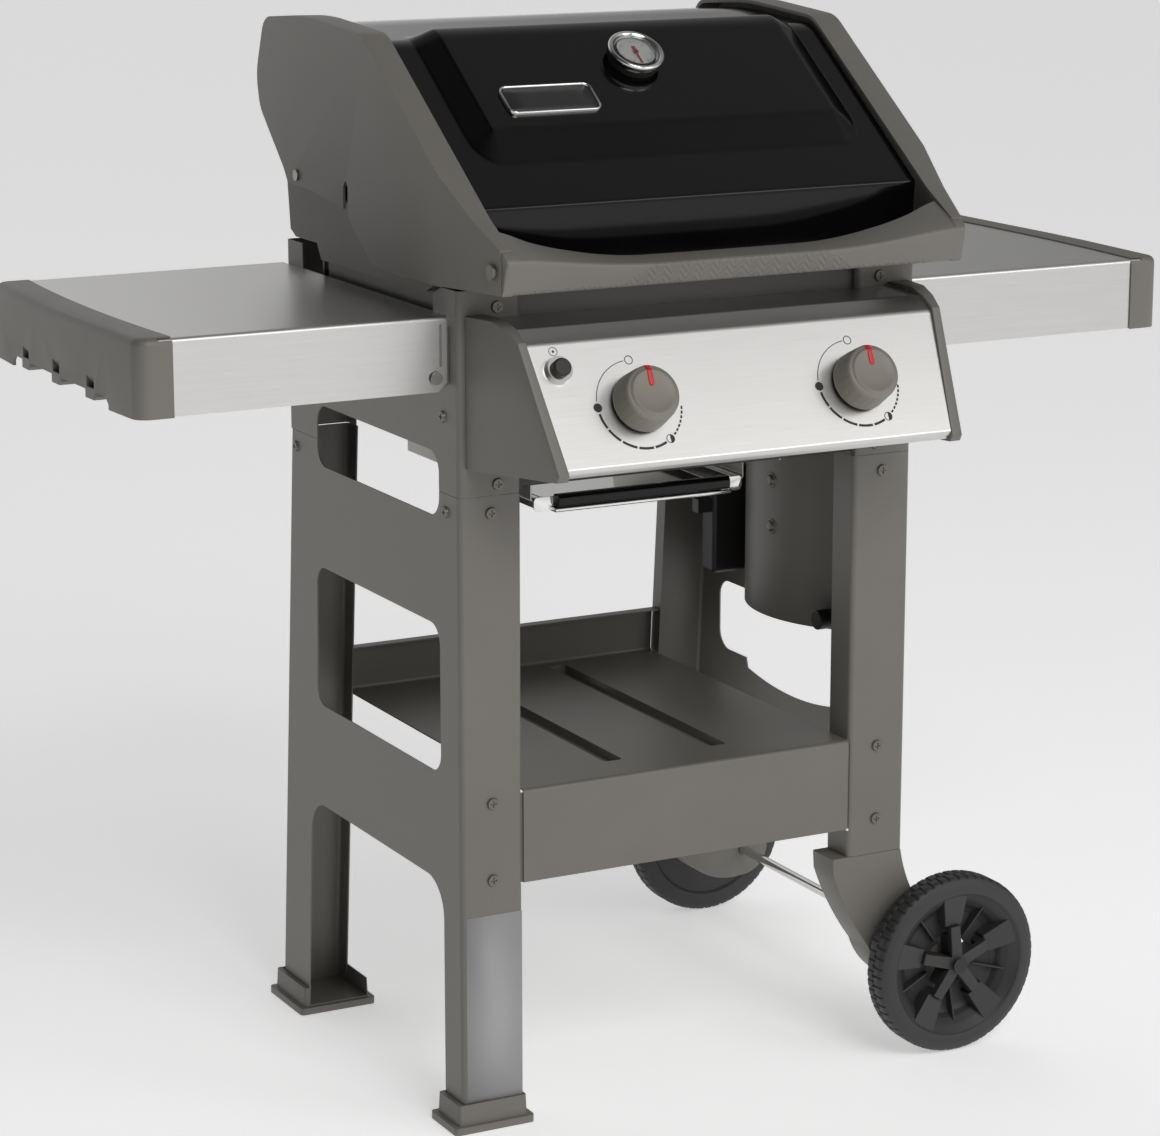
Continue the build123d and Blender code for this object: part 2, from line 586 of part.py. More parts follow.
for side_name, side in SIDES.items():
    save(panel_cap(side), f"panel_cap_{side_name}")

# ---------------------------------------------------------------- knobs, valves and gas pipe

for side_name, side in SIDES.items():
    x = side * PANEL_DIAL_X
    with BuildPart() as knob:
        extrude(disc(PANEL.offset(KNOB_GAP), x, 0, KNOB_R), amount=6)
        extrude(disc(PANEL.offset(KNOB_GAP + 6), x, 0, KNOB_R - 2), amount=KNOB_HEIGHT - 6, taper=3)
        fillet(knob.faces().sort_by(Axis.Y)[0].edges(), radius=2.5)
        extrude(disc(PANEL.offset(KNOB_GAP - 1), x, 0, KNOB_R - 4), amount=20, mode=Mode.SUBTRACT)
        extrude(disc(PANEL.offset(KNOB_GAP + 1), x, 0, 9), amount=20)
        extrude(disc(PANEL.offset(KNOB_GAP - 1), x, 0, STEM_R), amount=19, mode=Mode.SUBTRACT)
    save(knob, f"knob_{side_name}")
    with BuildPart() as stem:
        extrude(disc(PANEL.offset(-18), x, 0, STEM_R), amount=KNOB_GAP + 36)
    save(stem, f"valve_stem_{side_name}")
    with BuildPart() as seat:
        extrude(disc(PANEL.offset(-8), x, 0, 8), amount=3)
        extrude(disc(PANEL.offset(-9), x, 0, STEM_R + RUN_GAP), amount=6, mode=Mode.SUBTRACT)
    save(seat, f"stem_washer_{side_name}")

with BuildPart() as valves:
    for side in SIDES.values():
        x = side * PANEL_DIAL_X
        extrude(disc(PANEL.offset(-50), x, 0, 13), amount=37)
        extrude(disc(PANEL.offset(-26), x, 0, STEM_R + RUN_GAP), amount=20, mode=Mode.SUBTRACT)
        extrude(slab(PANEL.offset(-46), x - 5, 8, 10, 20), amount=12)
save(valves, "valves")

with BuildPart() as gas_manifold:
    pipe_plane = Plane(origin=PANEL.offset(-61.2).origin, x_dir=(0, 1, 0), z_dir=(1, 0, 0))
    extrude(disc(pipe_plane.offset(-165), 0, 0, 11), amount=365)
    elbow = Plane(origin=PANEL.offset(-61.2).origin + Vector(190, 0, 0))
    extrude(disc(elbow, 0, 0, 9.5), amount=-14)
    extrude(disc(elbow.offset(-14), 0, 0, 12), amount=-5)
    extrude(disc(elbow.offset(-19), 0, 0, 7.9), amount=-7)
    extrude(disc(elbow.offset(-27), 0, 0, 4), amount=17, mode=Mode.SUBTRACT)
save(gas_manifold, "gas_manifold")

# ---------------------------------------------------------------- igniter

with BuildPart() as igniter_bezel:
    extrude(disc(PANEL.offset(0.7), BUTTON_X, BUTTON_UP, 14.5), amount=7, taper=8)
    extrude(disc(PANEL.offset(-14), BUTTON_X, BUTTON_UP, 11.5), amount=15)
    extrude(disc(PANEL.offset(-15), BUTTON_X, BUTTON_UP, 9.6), amount=30, mode=Mode.SUBTRACT)
save(igniter_bezel, "igniter_bezel")

with BuildPart() as igniter_button:
    extrude(disc(PANEL.offset(-6), BUTTON_X, BUTTON_UP, 9.5), amount=21)
    fillet(igniter_button.faces().sort_by(Axis.Y)[0].edges(), radius=2.5)
save(igniter_button, "igniter_button")

with BuildPart() as igniter_module:
    extrude(disc(PANEL.offset(-44), BUTTON_X, BUTTON_UP, 12), amount=29.9)
save(igniter_module, "igniter_module")

# ---------------------------------------------------------------- cookbox and what it holds

EAR = [(24, 893), (42, 892), (60, 884), (322, 882), (333, 899), (390, 899), (404, 906), (411, 960),
       (404, 976), (392, 984), (350, 984), (300, 966), (224, 946), (190, 908), (24, 905)]
with BuildPart() as cookbox:
    depth = BOX_REAR_Y - BOX_FRONT_Y
    wide = slab(CART.offset(BOX_FLOOR_Z), -BOX_HALF, BOX_FRONT_Y, 2 * BOX_HALF, depth, 20)
    extrude(wide, amount=BOX_TOP_Z - BOX_FLOOR_Z)
    hollow = slab(CART.offset(BOX_FLOOR_Z + BOX_WALL), -BOX_HALF + BOX_WALL, BOX_FRONT_Y + BOX_WALL,
                  2 * (BOX_HALF - BOX_WALL), depth - 2 * BOX_WALL, 16)
    extrude(hollow, amount=BOX_TOP_Z, mode=Mode.SUBTRACT)
    drain = slab(CART.offset(BOX_FLOOR_Z - 1), -150, 60, 300, 230, 20)
    extrude(drain, amount=BOX_WALL + 2, mode=Mode.SUBTRACT)
    for side in SIDES.values():
        extrude(outline(SIDE.offset(side * 276), EAR), amount=-side * 18)
        pin_hole = disc(SIDE.offset(side * 280), HINGE_Y, HINGE_Z, HINGE_R)
        extrude(pin_hole, amount=-side * 30, mode=Mode.SUBTRACT)
    inside = slab(CART.offset(BOX_FLOOR_Z + BOX_WALL), -BOX_HALF + BOX_WALL, BOX_FRONT_Y + BOX_WALL,
                  2 * (BOX_HALF - BOX_WALL), 420, 0)
    extrude(inside, amount=BOX_TOP_Z, mode=Mode.SUBTRACT)
    back_wall = slab(CART.offset(BOX_FLOOR_Z), -BOX_HALF, BOX_REAR_Y - BOX_WALL, 2 * BOX_HALF, BOX_WALL)
    extrude(back_wall, amount=BOX_TOP_Z + 40 - BOX_FLOOR_Z)
    ledge_x = BOX_HALF - BOX_WALL + 1
    for ledge_y in (BOX_FRONT_Y + BOX_WALL - 1, BOX_REAR_Y - BOX_WALL - 8):
        for ledge_z in (BAR_Z - 8, GRATE_Z - 8):
            extrude(slab(CART.offset(ledge_z), -ledge_x, ledge_y, 2 * ledge_x, 9), amount=7.8)
    for side in SIDES.values():
        mouth = disc(FACE.offset(10), side * PANEL_DIAL_X, BURNER_Z, BURNER_R + 0.5)
        extrude(mouth, amount=-40, mode=Mode.SUBTRACT)
save(cookbox, "cookbox")

with BuildPart() as burners:
    for side in SIDES.values():
        x = side * PANEL_DIAL_X
        extrude(disc(FACE.offset(10), x, BURNER_Z, BURNER_R), amount=-340)
        extrude(disc(FACE.offset(12), x, BURNER_Z, BURNER_R - 2), amount=-335, mode=Mode.SUBTRACT)
save(burners, "burners")

with BuildPart() as heat_bars:
    for bar_x in (-PANEL_DIAL_X, 0, PANEL_DIAL_X):
        tent = [(bar_x - 34, BAR_Z + 0.8), (bar_x, BAR_Z + 30), (bar_x + 34, BAR_Z + 0.8)]
        extrude(strip(FACE.offset(-18), tent, 4, 1.5), amount=-326)
save(heat_bars, "heat_bars")

with BuildPart() as grates:
    for side in SIDES.values():
        with BuildSketch(CART.offset(GRATE_Z)):
            with Locations((side * 129, 181)):
                with GridLocations(GRATE_PITCH, 1, 14, 1):
                    Rectangle(8, 322)
            with Locations((side * 129, 22), (side * 129, 181), (side * 129, 340)):
                Rectangle(252 - 8, 6)
        extrude(amount=12)
save(grates, "grates")

with BuildPart() as warming_rack:
    for wire_x in range(-228, 229, 24):
        extrude(disc(FACE.offset(-188), wire_x, 984.5, 2.2), amount=-144)
    for wire_y in (190, 260, 330):
        extrude(disc(SIDE.offset(-246), wire_y, 982, 2.8), amount=492)
    for side in SIDES.values():
        for leg_y in (190, 330):
            extrude(disc(CART.offset(888.2), side * 243, leg_y, 2.4), amount=93)
save(warming_rack, "warming_rack")

TRAY_X, TRAY_Y, TRAY_LENGTH = 186.0, 16.0, 330.0
TRAY_MIDDLE = TRAY_Y + TRAY_LENGTH / 2
with BuildPart() as grease_tray:
    with BuildSketch(CART.offset(766)) as tray_top:
        with Locations((0, TRAY_MIDDLE)):
            Rectangle(2 * TRAY_X - 6, TRAY_LENGTH - 6)
    with BuildSketch(CART.offset(738)) as tray_bottom:
        with Locations((0, TRAY_MIDDLE)):
            Rectangle(64, 64)
    loft([tray_top.sketch, tray_bottom.sketch])
    extrude(slab(CART.offset(766), -TRAY_X, TRAY_Y, 2 * TRAY_X, TRAY_LENGTH, 6), amount=2)
    with BuildPart(mode=Mode.PRIVATE) as funnel:
        with BuildSketch(CART.offset(768)) as funnel_top:
            with Locations((0, TRAY_MIDDLE)):
                Rectangle(2 * TRAY_X - 12, TRAY_LENGTH - 12)
        with BuildSketch(CART.offset(740)) as funnel_bottom:
            with Locations((0, TRAY_MIDDLE)):
                Rectangle(58, 58)
        loft([funnel_top.sketch, funnel_bottom.sketch])
    add(funnel.part, mode=Mode.SUBTRACT)
    extrude(disc(CART.offset(730), 0, TRAY_MIDDLE, 20), amount=14, mode=Mode.SUBTRACT)
save(grease_tray, "grease_tray")

PAN_FLOOR_Z = 630.0
PAN_HALF = 118.0
PAN_FACE_HALF = 127.0
GRIP_HALF = 104.0
with BuildPart() as catch_pan:
    extrude(slab(CART.offset(PAN_FLOOR_Z), -PAN_HALF, PAN_Y, 2 * PAN_HALF, 206, 8), amount=15)
    pan_inside = slab(CART.offset(PAN_FLOOR_Z + 2), 2 - PAN_HALF, PAN_Y + 2, 2 * PAN_HALF - 4, 202, 6)
    extrude(pan_inside, amount=20, mode=Mode.SUBTRACT)
    for side in SIDES.values():
        lip_x = PAN_HALF - 1 if side > 0 else -PAN_HALF - 8.5
        extrude(slab(CART.offset(RAIL_Z + 1), lip_x, PAN_Y + 2.4, 9.5, 203.6), amount=1.8)
    pan_front = slab(FACE.offset(1.6 - PAN_Y), -PAN_FACE_HALF, PAN_FLOOR_Z, 2 * PAN_FACE_HALF, 15.5, 5)
    extrude(pan_front, amount=-1.8)
    under_grip = slab(SIDE.offset(-GRIP_HALF - 3), PAN_Y - 14, PAN_FLOOR_Z, 13, 4.6, 2)
    extrude(under_grip, amount=2 * GRIP_HALF + 6)
save(catch_pan, "catch_pan")

with BuildPart() as catch_pan_lip:
    extrude(slab(SIDE.offset(-GRIP_HALF), PAN_Y - 16, PAN_FLOOR_Z + 4.8, 14.2, 14.2, 5), amount=2 * GRIP_HALF)
save(catch_pan_lip, "catch_pan_lip")

# ---------------------------------------------------------------- lid
# A folded enamelled shell between two moulded end caps, with a full-width handle.

LID_LEAN = math.degrees(math.atan(0.7))
GAUGE_Y, GAUGE_Z = 124.3, 1109.6
GAUGE_NORMAL = (0, -math.sin(math.radians(LID_LEAN)), math.cos(math.radians(LID_LEAN)))
GAUGE = Plane(origin=(0, GAUGE_Y - DEPTH_MID, GAUGE_Z), x_dir=(1, 0, 0), z_dir=GAUGE_NORMAL)

CAP_SIDE = [(-104, 932.5), (-90, 944), (-45, 968.5), (192, 1131.8), (335, 1141), (447, 1132.5), (471, 1070),
            (463, 1034), (400, 974), (388, 958), (330, 957), (232, 945.5), (218, 929), (190, 911),
            (172, 896.5), (109, 894), (-12, 897), (-91, 899)]
CAP_SIDE_RADII = [1, 8, 60, 50, 600, 26, 50, 40, 4, 6, 40, 6, 20, 20, 10, 40, 40, 3]
CAP_CORE = [(-160, 888.5), (-89, 939), (-45, 963.8), (192, 1127.5), (335, 1136.8), (443, 1128.5), (466.5, 1070),
            (459, 1036), (436, 1008), (425, 880), (-160, 880)]
CAP_CORE_RADII = [1, 8, 55, 46, 600, 22, 46, 36, 3, 3, 1]


NOSE_Y = -91.6               # joint between an end cap and the handle that wraps its nose


def lid_cap(side):
    """Moulded end of the lid: a side skin and a rim that lies over the shell's edge."""
    taper_plan = [(side * CAP_HALF, 500), (side * CAP_HALF, 10), (side * 267.2, NOSE_Y + 0.3),
                  (side * 240, NOSE_Y + 0.3), (side * 240, 500)]
    inner_plan = [(side * (CAP_HALF - CAP_SKIN), 501), (side * (CAP_HALF - CAP_SKIN), 9.4),
                  (side * (265 - CAP_SKIN), -104), (side * 260, -131), (side * 230, -131), (side * 230, 501)]
    with BuildPart() as cap:
        with BuildSketch(SIDE.offset(side * CAP_HALF)):
            with BuildLine():
                FilletPolyline(*CAP_SIDE, radius=CAP_SIDE_RADII, close=True)
            make_face()
        extrude(amount=-side * CAP_RIM)
        extrude(outline(CART.offset(880), taper_plan), amount=300, mode=Mode.INTERSECT)
        with BuildPart(mode=Mode.PRIVATE) as core:
            with BuildSketch(SIDE.offset(side * CAP_HALF)):
                with BuildLine():
                    FilletPolyline(*CAP_CORE, radius=CAP_CORE_RADII, close=True)
                make_face()
            extrude(amount=-side * (CAP_RIM + 5))
            extrude(outline(CART.offset(860), inner_plan), amount=340, mode=Mode.INTERSECT)
        add(core.part, mode=Mode.SUBTRACT)
        pin_hole = disc(SIDE.offset(side * 290), HINGE_Y, HINGE_Z, HINGE_R + RUN_GAP)
        extrude(pin_hole, amount=-side * 40, mode=Mode.SUBTRACT)
        notch = [(230, 940), (230, 972), (235, 977), (242, 970), (242, 940)]
        extrude(outline(SIDE.offset(side * 290), notch), amount=-side * 14, mode=Mode.SUBTRACT)
        extrude(disc(SIDE.offset(side * 290), -80, 921, 5.2), amount=-side * 30, mode=Mode.SUBTRACT)
    return cap


for side_name, side in SIDES.items():
    save(lid_cap(side), f"lid_cap_{side_name}")

SHELL_LINE = [(-14, 901), (-20, 974), (191, 1121.7), (333, 1130.5), (437, 1123), (458, 1069), (451, 1038),
              (403, 982)]
with BuildPart() as lid_shell:
    extrude(strip(SIDE.offset(-254.6), SHELL_LINE, [12, 45, 500, 22, 45, 30], SHELL_SKIN), amount=509.2)
    extrude(disc(GAUGE.offset(-60), 0, 0, 4.5), amount=60, mode=Mode.SUBTRACT)
save(lid_shell, "lid_shell")

with BuildPart() as lid_handle:
    with BuildSketch(FACE.offset(110)):
        with BuildLine():
            Polyline((-247, 960), (-253.6, 934), (-254.2, 924), (-259, 922), (-257.5, 899), (257.5, 899),
                     (259, 922), (254.2, 924), (253.6, 934), (247, 960))
            ThreePointArc((247, 960), (0, 926), (-247, 960))
        make_face()
    extrude(amount=-54)
    grip = [(-104, 932), (-93, 898), (-68, 897), (-58, 906), (-56, 964), (-58, 964)]
    extrude(outline(SIDE.offset(-300), grip), amount=600, mode=Mode.INTERSECT)
    fillet(lid_handle.edges().filter_by(Axis.X), radius=2)
    for side in SIDES.values():
        link = slab(CART.offset(902), 236 if side > 0 else -248, -58, 12, 40.4)
        extrude(link, amount=22)
        wrap_plan = [(side * 240, NOSE_Y), (side * 267.2, NOSE_Y), (side * 265, -104), (side * 240, -104)]
        with BuildPart(mode=Mode.PRIVATE) as wrap:
            extrude(outline(CART.offset(890), wrap_plan, [1, 1, 6, 1]), amount=60)
            nose = [(-104, 932.5), (-93, 898.5), (NOSE_Y + 1, 898.5), (NOSE_Y + 1, 943)]
            extrude(outline(SIDE.offset(-300), nose), amount=600, mode=Mode.INTERSECT)
        add(wrap.part)
save(lid_handle, "lid_handle")

with BuildPart() as handle_bolts:
    for side in SIDES.values():
        extrude(disc(SIDE.offset(side * 271.2), -80, 921, 8), amount=side * 2.5)
        extrude(disc(SIDE.offset(side * 271.2), -80, 921, 5), amount=-side * 11)
save(handle_bolts, "handle_bolts")

with BuildPart() as lid_hinge_pins:
    for side in SIDES.values():
        extrude(disc(SIDE.offset(side * 259), HINGE_Y, HINGE_Z, HINGE_R), amount=side * 26.4)
        extrude(disc(SIDE.offset(side * 285.4), HINGE_Y, HINGE_Z, 6), amount=side * 2)
save(lid_hinge_pins, "lid_hinge_pins")

# ---------------------------------------------------------------- lid thermometer

with BuildPart() as gauge_housing:
    extrude(disc(GAUGE.offset(-9), 0, 0, 27), amount=-17.8)
    extrude(disc(GAUGE.offset(-9), 0, 0, 30), amount=9)
    extrude(disc(GAUGE.offset(-4), 0, 0, 26), amount=10, mode=Mode.SUBTRACT)
    extrude(disc(GAUGE.offset(-26.8), 0, 0, 4), amount=-48)
    extrude(disc(GAUGE.offset(-4), 0, 0, 1.5), amount=2)
save(gauge_housing, "gauge_housing")

with BuildPart() as gauge_needle:
    extrude(disc(GAUGE.offset(-3.2), 0, 0, 3.2), amount=0.8)
    extrude(slab(GAUGE.offset(-3.2), -0.9, -18, 1.8, 26), amount=0.8)
    extrude(slab(GAUGE.offset(-3.2), -2.0, 3, 4.0, 5.5), amount=0.8)
    extrude(disc(GAUGE.offset(-5), 0, 0, 1.5 + RUN_GAP), amount=5, mode=Mode.SUBTRACT)
save(gauge_needle, "gauge_needle")

with BuildPart() as gauge_glass:
    extrude(disc(GAUGE.offset(-1.6), 0, 0, 25.9), amount=1.5)
save(gauge_glass, "gauge_glass")
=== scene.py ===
import math

import bmesh
import bpy
import numpy as np
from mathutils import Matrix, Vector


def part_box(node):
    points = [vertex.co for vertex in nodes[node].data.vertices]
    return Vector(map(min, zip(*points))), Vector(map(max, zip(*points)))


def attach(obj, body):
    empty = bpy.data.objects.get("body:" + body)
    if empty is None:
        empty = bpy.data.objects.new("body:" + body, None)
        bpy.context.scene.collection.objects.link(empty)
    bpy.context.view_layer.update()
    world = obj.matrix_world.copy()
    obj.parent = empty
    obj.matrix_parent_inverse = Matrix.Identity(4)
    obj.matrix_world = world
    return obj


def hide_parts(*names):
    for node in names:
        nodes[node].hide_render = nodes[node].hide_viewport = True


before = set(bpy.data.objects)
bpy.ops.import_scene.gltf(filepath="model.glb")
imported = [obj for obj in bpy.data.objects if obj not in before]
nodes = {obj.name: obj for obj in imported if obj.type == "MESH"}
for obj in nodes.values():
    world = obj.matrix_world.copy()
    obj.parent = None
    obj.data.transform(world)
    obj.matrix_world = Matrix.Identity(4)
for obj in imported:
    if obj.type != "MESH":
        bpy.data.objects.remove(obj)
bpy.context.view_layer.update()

# ------------------------------------------------------------------ steel cart
# The cart is folded sheet steel under slate-grey powder coat, baked to a satin skin with the
# fine orange-peel ripple of sprayed powder. The gas side's shield is of the same sheet.

LEG_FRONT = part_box("side_frame_left")[0][1]      # y of the front face of the front legs
PATCH_MM = 80                # size of the soft patches of shade on every painted or moulded skin


def linear(code):
    """Linear RGBA of an sRGB hex colour."""
    parts = [int(code[i:i + 2], 16) / 255 for i in (1, 3, 5)]
    return [p / 12.92 if p <= 0.04045 else ((p + 0.055) / 1.055) ** 2.4 for p in parts] + [1.0]


def add(tree, kind, values=None, links=None, **settings):
    """Add one shader node with its settings, socket values and links."""
    node = tree.nodes.new(kind)
    for key, value in settings.items():
        setattr(node, key, value)
    for key, value in (values or {}).items():
        node.inputs[key].default_value = value
    for key, source in (links or {}).items():
        tree.links.new(source, node.inputs[key])
    return node


def new_material(name):
    """Empty node material: returns it, its tree, its shader node and its Object coordinates."""
    material = bpy.data.materials.new(name)
    material.use_nodes = True
    tree = material.node_tree
    shader = tree.nodes["Principled BSDF"]
    place = add(tree, "ShaderNodeTexCoord").outputs["Object"]
    return material, tree, shader, place


def two_shades(tree, shader, factor, dark, light):
    """Base colour that runs between two sRGB hex colours as factor goes from 0 to 1."""
    tint = add(tree, "ShaderNodeMix", {}, {"Factor": factor}, data_type="RGBA")
    tint.inputs["A"].default_value = linear(dark)
    tint.inputs["B"].default_value = linear(light)
    tree.links.new(tint.outputs["Result"], shader.inputs["Base Color"])


def mottled_finish(name, dark, light, roughness, spread, grain_mm, relief_mm, **sockets):
    """Painted or moulded skin: two close shades in soft patches, an uneven gloss and a fine grain.

    Patches are noise of PATCH_MM features. The grain is noise of grain_mm features that lifts the
    skin by relief_mm, and roughness runs from roughness - spread to roughness + spread.
    """
    material, tree, shader, place = new_material(name)
    patches = add(tree, "ShaderNodeTexNoise", {"Scale": 1000 / PATCH_MM, "Detail": 4.0}, {"Vector": place})
    two_shades(tree, shader, patches.outputs["Fac"], dark, light)
    gloss = add(tree, "ShaderNodeMapRange", {"To Min": roughness - spread, "To Max": roughness + spread},
                {"Value": patches.outputs["Fac"]})
    grain = add(tree, "ShaderNodeTexNoise", {"Scale": 1000 / grain_mm, "Detail": 3.0}, {"Vector": place})
    bump = add(tree, "ShaderNodeBump", {"Strength": 1.0, "Distance": relief_mm / 1000},
               {"Height": grain.outputs["Fac"]})
    tree.links.new(gloss.outputs["Result"], shader.inputs["Roughness"])
    tree.links.new(bump.outputs["Normal"], shader.inputs["Normal"])
    for key, value in sockets.items():
        shader.inputs[key.replace("_", " ")].default_value = value
    return material


def coat(material, *names):
    """Give CAD nodes a finish."""
    for name in names:
        slots = nodes[name].material_slots
        for held in slots:
            held.material = material
        if not slots:
            nodes[name].data.materials.append(material)


powder_coat = mottled_finish("powder_coated_steel", "#6a6762", "#726f69", 0.40, 0.04, 1.6, 0.012)
coat(powder_coat, "side_frame_left", "side_frame_right", "upper_frame_left", "upper_frame_right",
     "bottom_shelf", "tank_shield")

# The crossbars are the same powder-coated steel as the frame. Their much darker colour is painted shade,
# standing for the shade they sit in inside the cart, under the panel and the cookbox.
shaded_powder_coat = mottled_finish("powder_coat_painted_shade", "#232221", "#2b2a28", 0.45, 0.05, 1.6, 0.012)
coat(shaded_powder_coat, "front_crossbar", "rear_crossbar")

# ------------------------------------------------------------------ screws and small steel
# Pan-head screws and bolts are zinc plated and painted over with the frame's grey, so they have a
# dull metal sheen. Rails, ribs and brackets are plain zinc plate with its faint spangle.

screw_paint = mottled_finish("painted_zinc_screw", "#67645e", "#7b776f", 0.34, 0.06, 0.8, 0.006, Metallic=0.5)
coat(screw_paint, "frame_screws", "handle_bolts")

zinc_plate = mottled_finish("zinc_plated_steel", "#8d8c88", "#a5a49f", 0.36, 0.07, 3.0, 0.005, Metallic=1.0)
coat(zinc_plate, "pan_rails", "table_ribs_left", "table_ribs_right", "table_brackets_left",
     "table_brackets_right", "stem_washer_left", "stem_washer_right", "lid_hinge_pins")

# ------------------------------------------------------------------ chromed and bright steel
# The axle, the warming rack and the igniter's bezel are chrome plated: near-mirror with faint
# cloudiness, and a hair of ripple so that reflections wander.

chrome_plate = mottled_finish("chrome_plate", "#d6d6d4", "#e6e6e4", 0.09, 0.03, 12.0, 0.01, Metallic=1.0)
coat(chrome_plate, "wheel_axle", "warming_rack", "igniter_bezel")

# ------------------------------------------------------------------ gas train
# Brass valves and stems turned on a lathe, and an aluminised steel pipe, burners and tray, dull and
# slightly mottled.

brass = mottled_finish("turned_brass", "#a98a4e", "#bd9c5a", 0.28, 0.05, 1.0, 0.006, Metallic=1.0)
coat(brass, "valves", "valve_stem_left", "valve_stem_right")

aluminised = mottled_finish("aluminised_steel", "#8b8b88", "#9c9c99", 0.42, 0.08, 2.5, 0.01, Metallic=1.0)
coat(aluminised, "gas_manifold", "burners", "grease_tray")

# ------------------------------------------------------------------ cookbox, bars and grates
# The cookbox is cast and painted, with a slightly pebbled skin. The grates and heat bars are
# enamelled cast iron, matt black and rough to the touch.

cast_paint = mottled_finish("painted_casting", "#565450", "#5f5c58", 0.46, 0.05, 2.2, 0.03)
coat(cast_paint, "cookbox")

cast_iron = mottled_finish("enamelled_cast_iron", "#151514", "#201f1e", 0.55, 0.08, 1.8, 0.06)
coat(cast_iron, "grates", "heat_bars")

# ------------------------------------------------------------------ brushed stainless sheet
# Table tops and the control panel are stainless steel with a long brushed grain across the width:
# streaks a fraction of a millimetre wide and several centimetres long.


def brushed_finish(name, dark, light, roughness, streak_mm, length_mm):
    """Metal whose tint, gloss and height follow noise drawn out along X into streaks."""
    material, tree, shader, place = new_material(name)
    per_metre = (1000 / length_mm, 1000 / streak_mm, 1000 / streak_mm)
    stretch = add(tree, "ShaderNodeMapping", {"Scale": per_metre}, {"Vector": place})
    streaks = add(tree, "ShaderNodeTexNoise", {"Scale": 1.0, "Detail": 5.0, "Roughness": 0.6},
                  {"Vector": stretch.outputs["Vector"]})
    two_shades(tree, shader, streaks.outputs["Fac"], dark, light)
    spread = 0.06
    gloss = add(tree, "ShaderNodeMapRange", {"To Min": roughness - spread, "To Max": roughness + spread},
                {"Value": streaks.outputs["Fac"]})
    bump = add(tree, "ShaderNodeBump", {"Strength": 0.6, "Distance": 0.00001},
               {"Height": streaks.outputs["Fac"]})
    tree.links.new(gloss.outputs["Result"], shader.inputs["Roughness"])
    tree.links.new(bump.outputs["Normal"], shader.inputs["Normal"])
    shader.inputs["Metallic"].default_value = 1.0
    return material


stainless = brushed_finish("brushed_stainless", "#c4c3c1", "#dbdad8", 0.33, 0.5, 60)
coat(stainless, "table_top_left", "table_top_right", "panel_face")

# ------------------------------------------------------------------ moulded plastic parts
# Table ends, panel ends, wheel legs, feet, the lid's ends and its handle are moulded with a fine
# spark grain, in the cart's grey. Their edges are rounded as the mould leaves them.

WELD = 2e-6                      # metres within which a CAD mesh's corners are one
FLAT_ANGLE = math.radians(1.0)   # faces that turn by less are one flat face


def in_scene(name, mesh):
    """Object that holds a mesh, linked into the scene."""
    piece = bpy.data.objects.new(name, mesh)
    bpy.context.scene.collection.objects.link(piece)
    return piece


def rounded_copy(node, name, body, material, radius_mm, angle=28, segments=3):
    """A CAD node's shape as one joined mesh with its sharp edges rounded, standing for that node."""
    mesh = nodes[node].data.copy()
    mesh.name = name
    shape = bmesh.new()
    shape.from_mesh(mesh)
    bmesh.ops.remove_doubles(shape, verts=shape.verts, dist=WELD)
    bmesh.ops.dissolve_limit(shape, angle_limit=FLAT_ANGLE, verts=shape.verts, edges=shape.edges)
    shape.to_mesh(mesh)
    shape.free()
    mesh.materials.clear()
    mesh.materials.append(material)
    piece = in_scene(name, mesh)
    bevel = piece.modifiers.new("mould_radius", "BEVEL")
    bevel.width = radius_mm / 1000
    bevel.segments = segments
    bevel.limit_method = "ANGLE"
    bevel.angle_limit = math.radians(angle)
    bevel.use_clamp_overlap = True
    bevel.harden_normals = True
    mesh.shade_smooth()
    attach(piece, body)
    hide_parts(node)
    return piece


grey_plastic = mottled_finish("moulded_grey_nylon", "#6b6863", "#74716b", 0.46, 0.05, 0.9, 0.02)
black_plastic = mottled_finish("moulded_black_nylon", "#1b1b1b", "#242424", 0.48, 0.06, 0.9, 0.02)
for side, body in (("left", "table_left"), ("right", "cart")):
    rounded_copy(f"table_end_{side}", f"table_end_{side}_moulding", body, grey_plastic, 1.2)
for side in ("left", "right"):
    rounded_copy(f"panel_cap_{side}", f"panel_cap_{side}_moulding", "cart", grey_plastic, 2.5)
for place_name in ("front", "rear"):
    rounded_copy(f"wheel_leg_{place_name}", f"wheel_leg_{place_name}_moulding", "cart", grey_plastic, 2.0)
    rounded_copy(f"foot_{place_name}", f"foot_{place_name}_moulding", "cart", grey_plastic, 1.2)
coat(black_plastic, "axle_caps", "tank_scale", "tank_bumper", "igniter_button", "igniter_module",
     "gauge_housing")

# ------------------------------------------------------------------ lid end caps and handle
# The lid's ends are castings painted like the cart, with a broad rounded rim. The handle spans
# them, moulded in grip plastic, with a shallow zigzag grip pressed into its lower front.

GRIP_TURN = 0.009            # metres across the handle from one turn of a rib to the next
GRIP_RIB = 0.0035            # half the step from rib to rib
GRIP_FLANK = (0.0009, 0.0026)
GRIP_HEIGHT = 0.0006
GRIP_TALL = (0.10, 0.922)    # out to this half width the ribs reach up to this height
GRIP_LOW = (0.135, 0.904)    # and from this half width on, only up to this one
GRIP_FADE = 0.003            # the ribs fade in over this drop below their ceiling
GRIP_ENDS = (0.230, 0.238)   # half widths between which the ribs fade out

for side in ("left", "right"):
    rounded_copy(f"lid_cap_{side}", f"lid_cap_{side}_casting", "lid", grey_plastic, 6.0, angle=35, segments=5)


